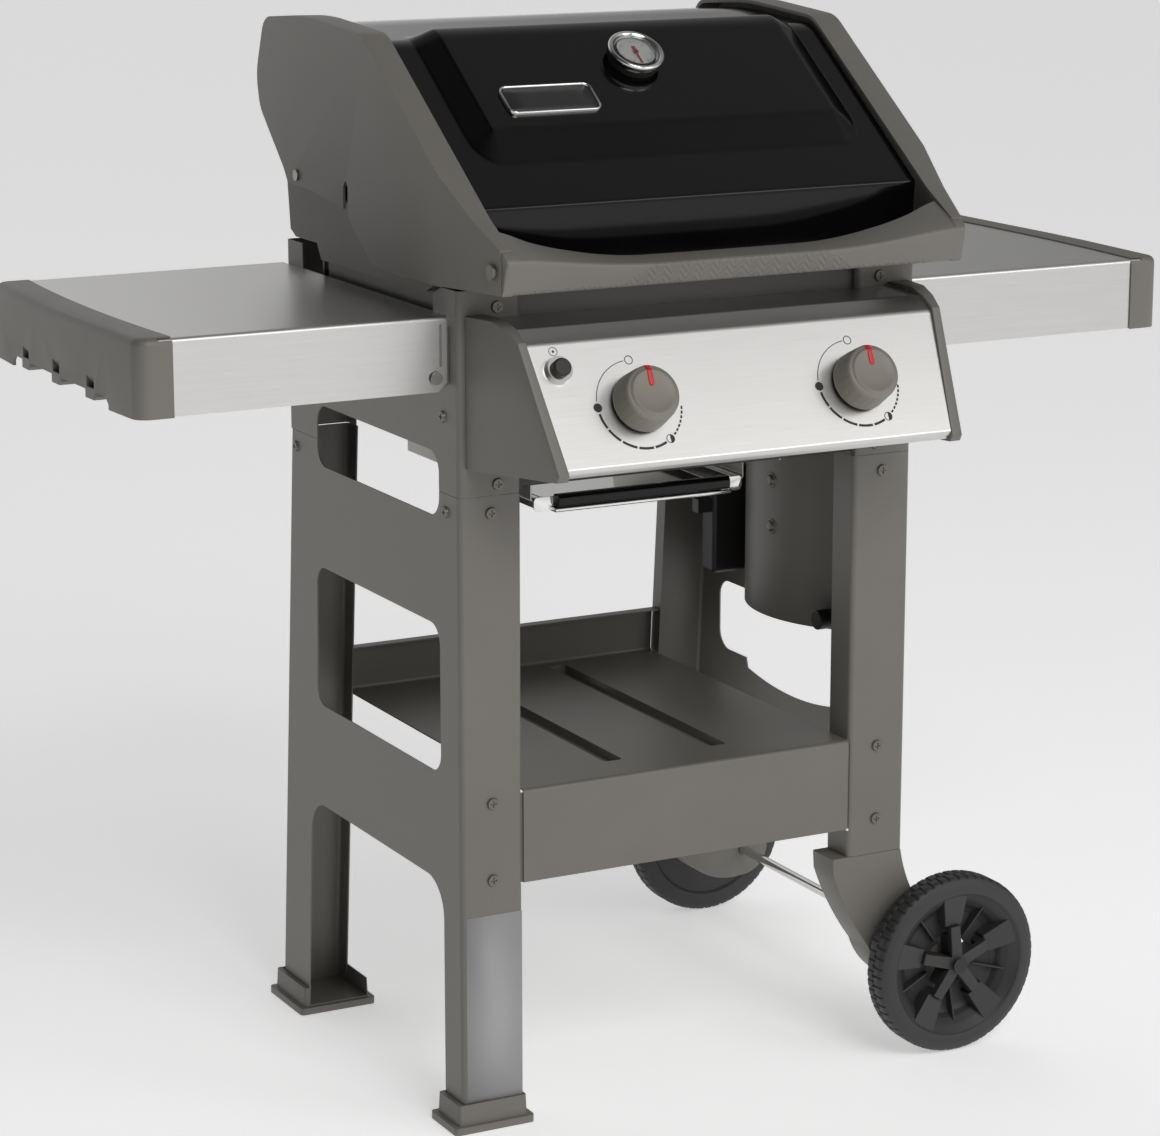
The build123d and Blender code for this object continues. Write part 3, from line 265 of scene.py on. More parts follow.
def grip_finish(name, dark, light):
    """Grey moulding with zigzag ribs pressed into the lower front of the handle.

    A rib's height is a smooth step over a triangle wave of Z plus a triangle wave of X, and it stops
    at a ceiling that falls from the middle towards the ends, and at the ends of the grip.
    """
    material, tree, shader, place = new_material(name)
    axes = add(tree, "ShaderNodeSeparateXYZ", {}, {"Vector": place})
    turn = add(tree, "ShaderNodeMath", {1: GRIP_TURN}, {0: axes.outputs["X"]}, operation="PINGPONG")
    lift = add(tree, "ShaderNodeMath", {}, {0: axes.outputs["Z"], 1: turn.outputs["Value"]}, operation="ADD")
    rib = add(tree, "ShaderNodeMath", {1: GRIP_RIB}, {0: lift.outputs["Value"]}, operation="PINGPONG")
    height = add(tree, "ShaderNodeMapRange", {"From Min": GRIP_FLANK[0], "From Max": GRIP_FLANK[1]},
                 {"Value": rib.outputs["Value"]}, interpolation_type="SMOOTHSTEP")
    width = add(tree, "ShaderNodeMath", {}, {0: axes.outputs["X"]}, operation="ABSOLUTE")
    ceiling = add(tree, "ShaderNodeMapRange",
                  {"From Min": GRIP_TALL[0], "From Max": GRIP_LOW[0],
                   "To Min": GRIP_TALL[1], "To Max": GRIP_LOW[1]},
                  {"Value": width.outputs["Value"]})
    room = add(tree, "ShaderNodeMath", {}, {0: ceiling.outputs["Result"], 1: axes.outputs["Z"]},
               operation="SUBTRACT")
    band = add(tree, "ShaderNodeMapRange", {"From Min": 0.0, "From Max": GRIP_FADE},
               {"Value": room.outputs["Value"]})
    ends = add(tree, "ShaderNodeMapRange", {"From Min": GRIP_ENDS[1], "From Max": GRIP_ENDS[0]},
               {"Value": width.outputs["Value"]})
    where = add(tree, "ShaderNodeMath", {}, {0: band.outputs["Result"], 1: ends.outputs["Result"]},
                operation="MULTIPLY")
    relief = add(tree, "ShaderNodeMath", {}, {0: height.outputs["Result"], 1: where.outputs["Value"]},
                 operation="MULTIPLY")
    grain = add(tree, "ShaderNodeTexNoise", {"Scale": 1000 / 0.9, "Detail": 3.0}, {"Vector": place})
    fine = add(tree, "ShaderNodeBump", {"Distance": 0.00002}, {"Height": grain.outputs["Fac"]})
    bump = add(tree, "ShaderNodeBump", {"Distance": GRIP_HEIGHT},
               {"Height": relief.outputs["Value"], "Normal": fine.outputs["Normal"]})
    patches = add(tree, "ShaderNodeTexNoise", {"Scale": 12.0, "Detail": 4.0}, {"Vector": place})
    two_shades(tree, shader, patches.outputs["Fac"], dark, light)
    tree.links.new(bump.outputs["Normal"], shader.inputs["Normal"])
    shader.inputs["Roughness"].default_value = 0.46
    return material


def lay_surface(name, points, material, loop_u=False, loop_v=False):
    """Mesh of a grid of points (rows along u, columns along v), closed in u or v if asked."""
    rows, columns = points.shape[:2]
    index = np.arange(rows * columns).reshape(rows, columns)
    if loop_u:
        index = np.vstack([index, index[:1]])
    if loop_v:
        index = np.hstack([index, index[:, :1]])
    quads = np.stack([index[:-1, :-1], index[1:, :-1], index[1:, 1:], index[:-1, 1:]], axis=-1).reshape(-1, 4)
    mesh = bpy.data.meshes.new(name)
    mesh.from_pydata(points.reshape(-1, 3).tolist(), [], quads.tolist())
    mesh.update()
    mesh.materials.append(material)
    mesh.shade_smooth()
    return in_scene(name, mesh)


HANDLE_END = 266.0           # half width of the handle, in millimetres
HANDLE_JOINT = 254.0         # the end caps meet the handle here, and its ends wrap their noses
HANDLE_X = [0, 60, 110, 150, 202, 237, 254]
HANDLE_TOP = [924, 924, 924.5, 929, 939.5, 951, 961]
HANDLE_CREASE = [922, 922, 922, 924, 929.5, 933.5, 933]
HANDLE_FOOT = 898.2          # height of the underside
HANDLE_BACK = -93            # lower back edge, in y from the legs' front
HANDLE_FRONT = -104.4        # crease along the front
HANDLE_INNER = (-66, -58)    # lower and upper edge of the face towards the lid
END_TOP = 942.6              # the wraps' upper edge, level along each end
END_CREASE = 932.8
CAP_NOSE = -91.6             # tip of each end cap, which the handle's ends wrap
END_ROUND = 6                # radius of the rounded ends
CORNER_CUTS = [5.0, 4.0, 3.0, 6.0]


def handle_points():
    """Handle as a four-sided section carried across the width, its corners drawn as parabolas.

    Each corner's curve is (1-t)^2 A + 2t(1-t) C + t^2 B, from A before the corner C to B after it.
    The front is drawn back by the circle of the end's radius over the last millimetres.
    """
    across = np.concatenate([np.linspace(0, HANDLE_JOINT - 0.2, 64),
                             HANDLE_END - END_ROUND + END_ROUND * np.sin(np.linspace(-1.0, np.pi / 2, 12))])
    across = np.concatenate([-across[::-1], across[1:]])
    reach = np.abs(across)
    blend = np.linspace(-18, 18, 13)
    top, crease = (np.interp(np.abs(reach[:, None] + blend), HANDLE_X, heights).mean(axis=1)
                   for heights in (HANDLE_TOP, HANDLE_CREASE))
    body = reach < HANDLE_JOINT
    crease = np.where(body, crease, END_CREASE)
    corners = np.stack([
        np.stack([np.full_like(reach, HANDLE_BACK), np.full_like(reach, HANDLE_FOOT)], axis=1),
        np.stack([np.where(body, HANDLE_INNER[0], CAP_NOSE), np.full_like(reach, HANDLE_FOOT)], axis=1),
        np.stack([np.where(body, HANDLE_INNER[1], CAP_NOSE), np.where(body, top, END_TOP)], axis=1),
        np.stack([np.full_like(reach, HANDLE_FRONT), crease], axis=1)], axis=1)
    into = np.roll(corners, 1, axis=1) - corners
    out = np.roll(corners, -1, axis=1) - corners
    into_run = np.linalg.norm(into, axis=2, keepdims=True)
    out_run = np.linalg.norm(out, axis=2, keepdims=True)
    bend = np.array(CORNER_CUTS)[None, :, None]
    before = corners + into * np.minimum(0.45, bend / into_run)
    after = corners + out * np.minimum(0.45, bend / out_run)
    t = np.linspace(0, 1, 7)[None, None, :, None]
    curve = ((1 - t) ** 2 * before[:, :, None] + 2 * t * (1 - t) * corners[:, :, None]
             + t ** 2 * after[:, :, None]).reshape(len(reach), -1, 2)
    past = np.maximum(0, reach - (HANDLE_END - END_ROUND))
    rounding = END_ROUND - np.sqrt(np.maximum(0, END_ROUND ** 2 - past ** 2))
    y = np.maximum(curve[:, :, 0], (HANDLE_FRONT + rounding)[:, None])
    section = np.stack([np.broadcast_to(across[:, None], y.shape), y, curve[:, :, 1]], axis=-1)
    ends = [section[k:k + 1].mean(axis=1, keepdims=True) + 0.01 * (section[k:k + 1]
            - section[k:k + 1].mean(axis=1, keepdims=True)) for k in (0, -1)]
    section = np.concatenate([ends[0], section, ends[1]])
    return section / 1000 + np.array([0, LEG_FRONT, 0])


grip_plastic = grip_finish("grip_moulded_nylon", "#6b6863", "#74716b")
handle = lay_surface("lid_handle_moulding", handle_points(), grip_plastic, loop_v=True)
handle.data.set_sharp_from_angle(angle=math.radians(50))
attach(handle, "lid")
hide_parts("lid_handle")

# ------------------------------------------------------------------ lid shell
# One pressed sheet, porcelain enamelled gloss black. Its sloping front has a raised panel with
# bevelled edges, which stops at the crease over the upright lower front.


def rounded_path(corners, radii, step):
    """Points along straight runs joined by arcs tangent to them, no more than step apart in an arc.

    At each corner the arc of radius r starts r * tan(turn / 2) before it and ends as far after it.
    """
    corners = np.asarray(corners, float)
    path = [corners[:1]]
    for before, corner, after, radius in zip(corners[:-2], corners[1:-1], corners[2:], radii):
        into = (corner - before) / np.linalg.norm(corner - before)
        out = (after - corner) / np.linalg.norm(after - corner)
        turn = math.acos(np.clip(np.dot(into, out), -1, 1))
        reach = radius * math.tan(turn / 2)
        way = np.sign(into[0] * out[1] - into[1] * out[0])
        centre = corner - into * reach + radius * way * np.array([-into[1], into[0]])
        start = (corner - into * reach) - centre
        angles = way * np.linspace(0, turn, max(3, int(turn * radius / step) + 2))
        turned = np.stack([start[0] * np.cos(angles) - start[1] * np.sin(angles),
                           start[0] * np.sin(angles) + start[1] * np.cos(angles)], axis=1)
        path.append(centre + turned)
    path.append(corners[-1:])
    return np.vstack(path)


def resample(path, spacing):
    """The same path with points added so that none are further apart than spacing."""
    steps = np.linalg.norm(np.diff(path, axis=0), axis=1)
    run = np.concatenate([[0], np.cumsum(steps)])
    keep = [run]
    for start, end in zip(run[:-1], run[1:]):
        keep.append(np.linspace(start, end, max(2, int((end - start) / spacing) + 2))[1:-1])
    where = np.unique(np.concatenate(keep))
    return np.stack([np.interp(where, run, path[:, i]) for i in range(2)], axis=1), where


SHELL_HALF = 254.6           # half width of the sheet, in millimetres like the rest of its outline
SHELL_CORNERS = [(-15.0, 901), (-21.0, 974.4), (190.6, 1122.6), (333, 1131.5), (437.8, 1123.9), (459, 1069),
                 (452, 1037.6), (403.7, 981.3)]
SHELL_RADII = [3, 45, 500, 22, 45, 30]
SHELL_SHEET = 0.002
PANEL_RISE = 12.0            # millimetres that the raised panel stands over the rest of the shell
PANEL_SIDE = (200.0, 229.0)  # half width of the panel's flat, and of the foot of its bevel
PANEL_LOW = (105.0, 61.0)    # distance of the same two lines above the crease
CREASE_Z = 974               # the crease between the upright front and the slope is near here
RIDGE = (190, 1120)          # the ridge behind the slope is near here


def ramp(part, ease=0.12):
    """0 to 1 over part, straight in the middle and eased by parabolas over both ends."""
    part = np.clip(part, 0, 1)
    line = (part - ease / 2) / (1 - ease)
    line = np.where(part < ease, part ** 2 / (2 * ease * (1 - ease)), line)
    return np.where(part > 1 - ease, 1 - (1 - part) ** 2 / (2 * ease * (1 - ease)), line)


def shell_points():
    """Shell surface: the side profile drawn across the width, lifted along its normal by the panel.

    With u and v how far out a point lies over the bevels, from 0 at the flat to 1 at the foot,
    lift = rise * ramp(1 - hypot(u, v)). Over the ridge the lift fades out towards the back.
    """
    profile, run = resample(rounded_path(SHELL_CORNERS, SHELL_RADII, 3.0), 3.0)
    across = np.unique(np.concatenate([np.linspace(-SHELL_HALF, -190, 44), np.linspace(-190, 190, 39),
                                       np.linspace(190, SHELL_HALF, 44)]))
    along = np.gradient(profile, run, axis=0)
    along /= np.linalg.norm(along, axis=1, keepdims=True)
    normal = np.stack([-along[:, 1], along[:, 0]], axis=1)
    crease = run[np.argmin(np.abs(profile[:, 1] - CREASE_Z) + 1000 * (profile[:, 0] > 60))]
    ridge = run[np.argmin(np.hypot(profile[:, 0] - RIDGE[0], profile[:, 1] - RIDGE[1]))]
    u = (np.abs(across)[None, :] - PANEL_SIDE[0]) / (PANEL_SIDE[1] - PANEL_SIDE[0])
    v = (PANEL_LOW[0] - (run[:, None] - crease)) / (PANEL_LOW[0] - PANEL_LOW[1])
    fade = (run[:, None] - ridge - 4) / 30
    lift = PANEL_RISE * ramp(1 - np.hypot(np.maximum(u, 0), np.maximum(v, 0))) * ramp(1 - fade, 0.4)
    y = profile[:, 0][:, None] + normal[:, 0][:, None] * lift
    z = profile[:, 1][:, None] + normal[:, 1][:, None] * lift
    x = np.broadcast_to(across[None, :], y.shape)
    return np.stack([x / 1000, y / 1000 + LEG_FRONT, z / 1000], axis=-1)


enamel = mottled_finish("porcelain_enamel_black", "#060606", "#0a0a0a", 0.11, 0.03, 30.0, 0.02, IOR=1.36)
shell = lay_surface("lid_shell_pressing", shell_points()[:, ::-1], enamel)
wall = shell.modifiers.new("sheet", "SOLIDIFY")
wall.thickness = SHELL_SHEET
wall.offset = -1
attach(shell, "lid")
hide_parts("lid_shell")

# ------------------------------------------------------------------ catch pan
# A shallow chromed pressing, its edges softened by the die. The rolled lip over its front edge is
# enamelled black like the lid.

rounded_copy("catch_pan", "catch_pan_pressing", "pan", chrome_plate, 0.8)
coat(enamel, "catch_pan_lip")

# ------------------------------------------------------------------ control knobs
# Moulded grips with a skirt, a stepped front and a shallow dished face. A red pointer is moulded
# in from the rim to the middle of the face.

PANEL_LEAN = math.atan2(118.0, 65.9)     # the panel's height over its depth
panel_across = np.array([1.0, 0, 0])
panel_up = np.array([0, math.cos(PANEL_LEAN), math.sin(PANEL_LEAN)])
panel_out = np.array([0, -math.sin(PANEL_LEAN), math.cos(PANEL_LEAN)])
panel_middle = np.array([0, -117.4 / 1000 + LEG_FRONT, 784.8 / 1000])
KNOB_X = 127.5
KNOB_PROFILE = [(0, 35.2), (12, 35.4), (20.5, 36.3), (22.3, 37.1), (23.4, 36.9), (24.6, 35.0), (26.2, 34.6),
                (27.8, 34.0), (28.9, 32.6), (29.6, 30), (30.6, 18), (31.3, 8.5), (31.4, 6.2), (30.9, 5.6),
                (29.0, 5.5), (27.6, 6.5), (27.0, 22), (9.4, 23), (9.2, 6.4), (4.2, 6.2)]
FLUTES = 24
FLUTE_DEPTH = 0.5
POINTER_RUN = (6.5, 30.4)    # the pointer starts and ends this far from the knob's middle
POINTER_HALF = 2.6
POINTER_RADII = [0, 20.5, 22.3, 24.6, 27.8, 28.9, 29.6, 30.3]
POINTER_RISES = [35.3, 36.3, 37.1, 35.4, 34.4, 33, 30.5, 25]


def on_panel(x, up, out):
    """Points given in millimetres across, up and out of the panel's face, in metres."""
    return (panel_middle + np.asarray(x)[..., None] * panel_across / 1000
            + np.asarray(up)[..., None] * panel_up / 1000 + np.asarray(out)[..., None] * panel_out / 1000)


knob_plastic = mottled_finish("moulded_taupe_nylon", "#79756c", "#827d74", 0.44, 0.04, 0.9, 0.015)
pointer_red = mottled_finish("moulded_red_insert", "#c4141c", "#d21b22", 0.38, 0.03, 0.9, 0.01)
ring = np.linspace(0, 2 * np.pi, 97)[:-1]
profile = np.array(KNOB_PROFILE)
for side, sign in (("left", -1), ("right", 1)):
    radius = profile[:, 0][None, :]
    grip = np.where((profile[:, 1] > 9) & (profile[:, 1] < 31) & (profile[:, 0] > 28), 1.0, 0.0)[None, :]
    flutes = radius - FLUTE_DEPTH * grip * np.cos(FLUTES / 2 * ring[:, None]) ** 8
    points = on_panel(sign * KNOB_X + flutes * np.cos(ring[:, None]), flutes * np.sin(ring[:, None]),
                      np.broadcast_to(profile[:, 1][None, :], flutes.shape))
    knob = lay_surface(f"knob_{side}_grip", points[::-1], knob_plastic, loop_u=True)
    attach(knob, f"dial_{side}")
    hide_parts(f"knob_{side}")
    length = np.linspace(*POINTER_RUN, 30)
    rise = np.interp(length, POINTER_RADII, POINTER_RISES)
    nose = ((POINTER_RUN[0] + POINTER_HALF - length) / POINTER_HALF).clip(0, 1)
    tip = POINTER_HALF * np.sqrt(np.clip(1 - nose ** 2, 0, 1)) + 0.02
    edge = np.array([-1.0, -1.0, -0.75, 0.75, 1.0, 1.0])
    height = np.array([-1.2, 0.45, 0.8, 0.8, 0.45, -1.2])
    points = on_panel(sign * KNOB_X + tip[:, None] * edge[None, :], np.broadcast_to(length[:, None], (30, 6)),
                      rise[:, None] + height[None, :])
    pointer = lay_surface(f"knob_{side}_pointer", points, pointer_red, loop_v=True)
    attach(pointer, f"dial_{side}")

# ------------------------------------------------------------------ panel markings
# Printed in black ink on the steel around each knob: an open ring for off, a dot for full, a half
# dot for low, and arcs of bars between them. A small ring over the button marks the igniter.

MARK_OUT = 0.75              # millimetres from the middle of the sheet to the ink
MARK_R = 46.5                # the marks stand on this circle round each knob
LOW_ANGLE = math.radians(-57)
BUTTON_MARK = (-208, 62.1)


def arc_band(middle_x, middle_up, inner, outer, start, end):
    """Grid of a flat ring section between two radii, angles in degrees from the right."""
    angle = np.radians(np.linspace(start, end, max(4, int(abs(end - start) / 4) + 2)))[:, None]
    radius = np.array([inner, outer])[None, :]
    x = middle_x + radius * np.cos(angle)
    up = middle_up + radius * np.sin(angle)
    return on_panel(x, up, np.full(x.shape, MARK_OUT))


ink = mottled_finish("screen_printed_ink", "#161616", "#1e1e1e", 0.5, 0.04, 0.5, 0.002)
bands = []
for centre in (-KNOB_X, KNOB_X):
    off = (centre, MARK_R)
    low = (centre + MARK_R * math.cos(LOW_ANGLE), MARK_R * math.sin(LOW_ANGLE))
    full = (centre - MARK_R, 0)
    bands += [arc_band(*off, 3.9, 4.7, 0, 360), arc_band(*full, 0.02, 4.7, 0, 360),
              arc_band(*low, 3.9, 4.7, 0, 360), arc_band(*low, 0.02, 4.0, -90, 90)]
    bands.append(arc_band(centre, 0, MARK_R - 0.4, MARK_R + 0.4, 97.5, 172))
    bands += [arc_band(centre, 0, MARK_R - 1.2, MARK_R + 1.4, angle, angle + 20)
              for angle in (188, 210.5, 233, 255.5)]
    bands.append(arc_band(centre, 0, MARK_R - 1.2, MARK_R + 1.4, 278, 295.5))
    bands += [arc_band(centre, 0, MARK_R - 1, MARK_R + 1, angle, angle + 4.0)
              for angle in np.arange(311, 352, 6.2)]
bands += [arc_band(*BUTTON_MARK, 4.2, 4.8, 0, 360), arc_band(*BUTTON_MARK, 0.02, 1.3, 0, 360)]
marks = bpy.data.meshes.new("panel_marks")
corners, faces = [], []
for band in bands:
    first = len(corners)
    corners += band.reshape(-1, 3).tolist()
    faces += [(i, i + 1, i + 3, i + 2) for i in range(first, first + 2 * len(band) - 2, 2)]
marks.from_pydata(corners, [], faces)
marks.materials.append(ink)
panel_marks = in_scene("panel_marks", marks)
film = panel_marks.modifiers.new("ink_film", "SOLIDIFY")
film.thickness = 0.0001
film.offset = 1
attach(panel_marks, "cart")

# ------------------------------------------------------------------ wheels
# Moulded dull grey wheels: a rounded tyre with two rows of tread blocks, a dished side, and five
# broad blades that step down to a star of narrow bars at the hub.

WHEEL_MIDDLE = (319.5, 101.6)
TREAD_BLOCKS = 56
TREAD_DEPTH = 1.5
TYRE_PROFILE = [(80.4, 3.2), (81.7, 1.6), (84.0, 0.7), (92.0, 1.6), (97.4, 3.6), (99.8, 5.6),
                (101.0, 7.6), (101.6, 10.0), (101.6, 28.0), (101.0, 31), (99, 33.5), (95, 35.2),
                (86, 35.8), (81, 35), (78, 32), (30, 31.5), (28.5, 30.5), (28.5, 27.5),
                (56, 26.5), (62, 23), (66, 17.0), (72, 10.5)]
BOSS_PROFILE = np.array([(0.02, -0.4), (4.0, -0.4), (5.4, 0.2), (6.4, 1.6), (6.6, 4)])
wheel_plastic = mottled_finish("moulded_wheel_polyethylene", "#2d2d2d", "#363636", 0.52, 0.05, 1.2, 0.03)


def on_wheel(face_y, way, across, up, depth):
    """Points given from the wheel's middle and in from its outer face, in metres."""
    across, up, depth = np.broadcast_arrays(across, up, depth)
    return np.stack([(WHEEL_MIDDLE[0] + across) / 1000, LEG_FRONT + (face_y + way * depth) / 1000,
                     (WHEEL_MIDDLE[1] + up) / 1000], axis=-1)


def tyre_points(face_y, way):
    """Lathed profile, cut by the tread: two rows of blocks half a block apart, and a zigzag between.

    A groove is TREAD_DEPTH deep where the turn, in blocks, is under 0.2 of the way through a block,
    and along depth = 19 + 1.8 * triangle wave of the turn.
    """
    profile, _ = resample(np.array(TYRE_PROFILE + TYRE_PROFILE[:1]), 1.1)
    profile = profile[:-1]
    angle = np.linspace(0, 2 * np.pi, TREAD_BLOCKS * 10, endpoint=False)[:, None]
    depth = profile[:, 1][None, :]
    radius = profile[:, 0][None, :]
    block = angle * TREAD_BLOCKS / (2 * np.pi)
    wave = 19 + 1.8 * (2 * np.abs(2 * (block % 1) - 1) - 1)
    row = np.where(depth < wave, 0.0, 0.5)
    cut = ((block + row) % 1 < 0.2) | (np.abs(depth - wave) < 0.75)
    tread = np.clip((radius - 98.5) / 2.0, 0, 1)
    worn = radius - TREAD_DEPTH * cut * tread
    return on_wheel(face_y, way, worn * np.cos(angle), worn * np.sin(angle), depth)


def bar_block(turn, near, far, near_half, far_half, near_top, far_top, bottom):
    """Eight corners of a block along a spoke, across, up and in, its top sloping from near to far."""
    across, up, depths = [], [], []
    for reach, half, top in ((near, near_half, near_top), (far, far_half, far_top)):
        for offset, depth in ((-half, top), (half, top), (half, bottom), (-half, bottom)):
            across.append(reach * math.cos(turn) - offset * math.sin(turn))
            up.append(reach * math.sin(turn) + offset * math.cos(turn))
            depths.append(depth)
    return np.array(across), np.array(up), np.array(depths)


BLADES = 5
BLADE_START = 93             # degrees
BLOCK_FACES = [(0, 1, 2, 3), (7, 6, 5, 4), (0, 4, 5, 1), (1, 5, 6, 2), (2, 6, 7, 3), (3, 7, 4, 0)]
for spot, face_y, way, body in (("front", -46.0, 1, "front_wheel"), ("rear", 547.0, -1, "rear_wheel")):
    points = tyre_points(face_y, way)
    tyre = lay_surface(f"wheel_{spot}_tyre", points if way > 0 else points[::-1], wheel_plastic, loop_u=True,
                       loop_v=True)
    tyre.data.set_sharp_from_angle(angle=math.radians(40))
    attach(tyre, body)
    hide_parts(f"wheel_{spot}")
    corners, faces = [], []
    for number in range(BLADES):
        turn = math.radians(BLADE_START + 360 / BLADES * number)
        for block in (bar_block(turn, 44, 79.5, 10.5, 15.5, 10.5, 4.2, 27),
                      bar_block(turn, 36, 50, 4.0, 9.0, 13.5, 11.0, 27),
                      bar_block(turn, 0, 43.5, 7.0, 6.2, 3.2, 6.2, 14),
                      bar_block(turn + 0.62, 30, 72, 1.1, 1.1, 20, 12, 27),
                      bar_block(turn, 0, 31, 5, 5, 14, 14, 31)):
            first = len(corners)     # broad blade, step, bar of the star, thin rib, core of the hub
            corners += on_wheel(face_y, way, *block).tolist()
            faces += [tuple(first + i for i in (face if way > 0 else face[::-1])) for face in BLOCK_FACES]
    mesh = bpy.data.meshes.new(f"wheel_{spot}_blades")
    mesh.from_pydata(corners, [], faces)
    mesh.materials.append(wheel_plastic)
    blades = in_scene(f"wheel_{spot}_blades", mesh)
    bevel = blades.modifiers.new("mould_radius", "BEVEL")
    bevel.width = 0.0009
    bevel.segments = 2
    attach(blades, body)
    dome = on_wheel(face_y, way, BOSS_PROFILE[:, 0][None, :] * np.cos(ring[:, None]),
                    BOSS_PROFILE[:, 0][None, :] * np.sin(ring[:, None]), BOSS_PROFILE[:, 1][None, :])
    hub = lay_surface(f"wheel_{spot}_hub_boss", dome if way > 0 else dome[::-1], wheel_plastic, loop_u=True)
    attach(hub, body)

# ------------------------------------------------------------------ shield screws
# Two pan-head screws hold the gas shield to its bracket, each sunk in a pressed dimple with a
# washer face round the head.

SHIELD_AXIS = (373.1, 212.0)
SHIELD_R = 158.35            # outer radius of the shield, in millimetres
SCREW_PROFILE = np.array([(9.5, -0.3), (8.8, 0.7), (7.6, 1.1), (6.6, 0.6), (6.2, 0.4), (6.0, 1.6), (5.2, 2.8),
                          (3.0, 3.3), (0.03, 3.4)])
for number, (screw_y, screw_z) in enumerate(((199.2, 616.2), (198.1, 563.2)), 1):
    lean = math.asin((SHIELD_AXIS[1] - screw_y) / SHIELD_R)
    outward = np.array([-math.cos(lean), -math.sin(lean), 0])
    level = np.array([-outward[1], outward[0], 0])
    head = np.array([SHIELD_AXIS[0], SHIELD_AXIS[1], screw_z]) + SHIELD_R * outward
    radius = SCREW_PROFILE[:, 0][None, :, None]
    rise = SCREW_PROFILE[:, 1][None, :, None]
    points = (head + radius * np.cos(ring)[:, None, None] * level
              + radius * np.sin(ring)[:, None, None] * np.array([0, 0, 1.0]) + rise * outward)
    points = points / 1000 + np.array([0, LEG_FRONT, 0])
    screw = lay_surface(f"shield_screw_{number}", points, screw_paint, loop_u=True)
    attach(screw, "cart")

# ------------------------------------------------------------------ lid thermometer
# A stamped chrome bezel over a white printed dial with tick marks, and a red pointer that hangs
# down when cold. A clear glass covers it, on a black moulded housing.

lid_lean = math.atan(0.7)    # slope of the lid's front
gauge_up = np.array([0, math.cos(lid_lean), math.sin(lid_lean)])
gauge_out = np.array([0, -math.sin(lid_lean), math.cos(lid_lean)])
gauge_middle = np.array([0, 124.3 / 1000 + LEG_FRONT, 1109.6 / 1000])
DIAL_OUT = -3.7              # millimetres out from the middle of the rim to the dial
TICK_OUT = -3.55             # and to the ink on it


def on_gauge(x, up, out):
    """Points given in millimetres across, up and out of the gauge's rim, in metres."""
    x, up, out = np.broadcast_arrays(x, up, out)
    return (gauge_middle + x[..., None] * panel_across / 1000 + up[..., None] * gauge_up / 1000
            + out[..., None] * gauge_out / 1000)


BEZEL_PROFILE = np.array([(21.2, -3.0), (21.2, -1.2), (21.8, -0.5), (24.2, -1.3), (25.2, -0.6), (26.4, 0.9),
                          (28.2, 1.5), (29.8, 0.9), (30.7, -0.8), (30.7, -6.5), (30.2, -7.0)])
turns = ring[:, None]
bezel = lay_surface("gauge_bezel", on_gauge(BEZEL_PROFILE[:, 0][None, :] * np.cos(turns),
                                            BEZEL_PROFILE[:, 0][None, :] * np.sin(turns),
                                            BEZEL_PROFILE[:, 1][None, :]), chrome_plate, loop_u=True)
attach(bezel, "lid")

dial_white = mottled_finish("printed_white_dial", "#d9d7d2", "#e2e0db", 0.45, 0.03, 0.6, 0.002)
radii = np.array([0.05, 8, 16, 25.5])[None, :]
dial_points = on_gauge(radii * np.cos(turns), radii * np.sin(turns), DIAL_OUT + 0 * radii)
dial = lay_surface("gauge_dial", dial_points, dial_white, loop_u=True)
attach(dial, "lid")
tick_corners, tick_faces = [], []
for step, angle in enumerate(np.radians(np.arange(-60, 241, 10))):
    inner, half = (14.6, 0.30) if step % 5 == 0 else (16.6, 0.16)
    reach = np.array([inner, 18.6, 18.6, inner])
    off = np.array([-half, -half, half, half])
    x = reach * math.cos(angle) - off * math.sin(angle)
    up = reach * math.sin(angle) + off * math.cos(angle)
    tick_faces.append(tuple(range(len(tick_corners), len(tick_corners) + 4)))
    tick_corners += on_gauge(x, up, TICK_OUT).tolist()
ticks = bpy.data.meshes.new("gauge_ticks")
ticks.from_pydata(tick_corners, [], tick_faces)
ticks.materials.append(ink)
gauge_ticks = in_scene("gauge_ticks", ticks)
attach(gauge_ticks, "lid")
coat(pointer_red, "gauge_needle")

glass, tree, shader, place = new_material("clear_gauge_glass")
smears = add(tree, "ShaderNodeTexNoise", {"Scale": 60.0, "Detail": 3.0}, {"Vector": place})
gloss = add(tree, "ShaderNodeMapRange", {"To Min": 0.01, "To Max": 0.06}, {"Value": smears.outputs["Fac"]})
tree.links.new(gloss.outputs["Result"], shader.inputs["Roughness"])
shader.inputs["Base Color"].default_value = linear("#f4f7f7")
shader.inputs["Transmission Weight"].default_value = 1.0
shader.inputs["IOR"].default_value = 1.45
coat(glass, "gauge_glass")

# ------------------------------------------------------------------ badge plate
# A small plate riveted on the lid's raised panel, left blank: a bright bevelled frame round a dark
# field. Its corners are cut round.

BADGE = (-120.0, 92.0, 1062.0)   # point under the middle of the plate, in millimetres
BADGE_LIFT = 0.006           # metres from that point out to the middle of the plate
badge_middle = np.array([BADGE[0] / 1000, BADGE[1] / 1000 + LEG_FRONT, BADGE[2] / 1000])
badge_middle = badge_middle + BADGE_LIFT * gauge_out


def rounded_ring(half_width, half_height, radius, count=10):
    """Outline of a rounded rectangle, anticlockwise from the lower right corner's arc."""
    quarter = np.linspace(0, np.pi / 2, count)
    parts = []
    for k, (sx, sy) in enumerate(((1, -1), (1, 1), (-1, 1), (-1, -1))):
        angle = quarter + (k - 1) * np.pi / 2
        parts.append(np.stack([sx * (half_width - radius) + radius * np.cos(angle),
                               sy * (half_height - radius) + radius * np.sin(angle)], axis=1))
    return np.vstack(parts)


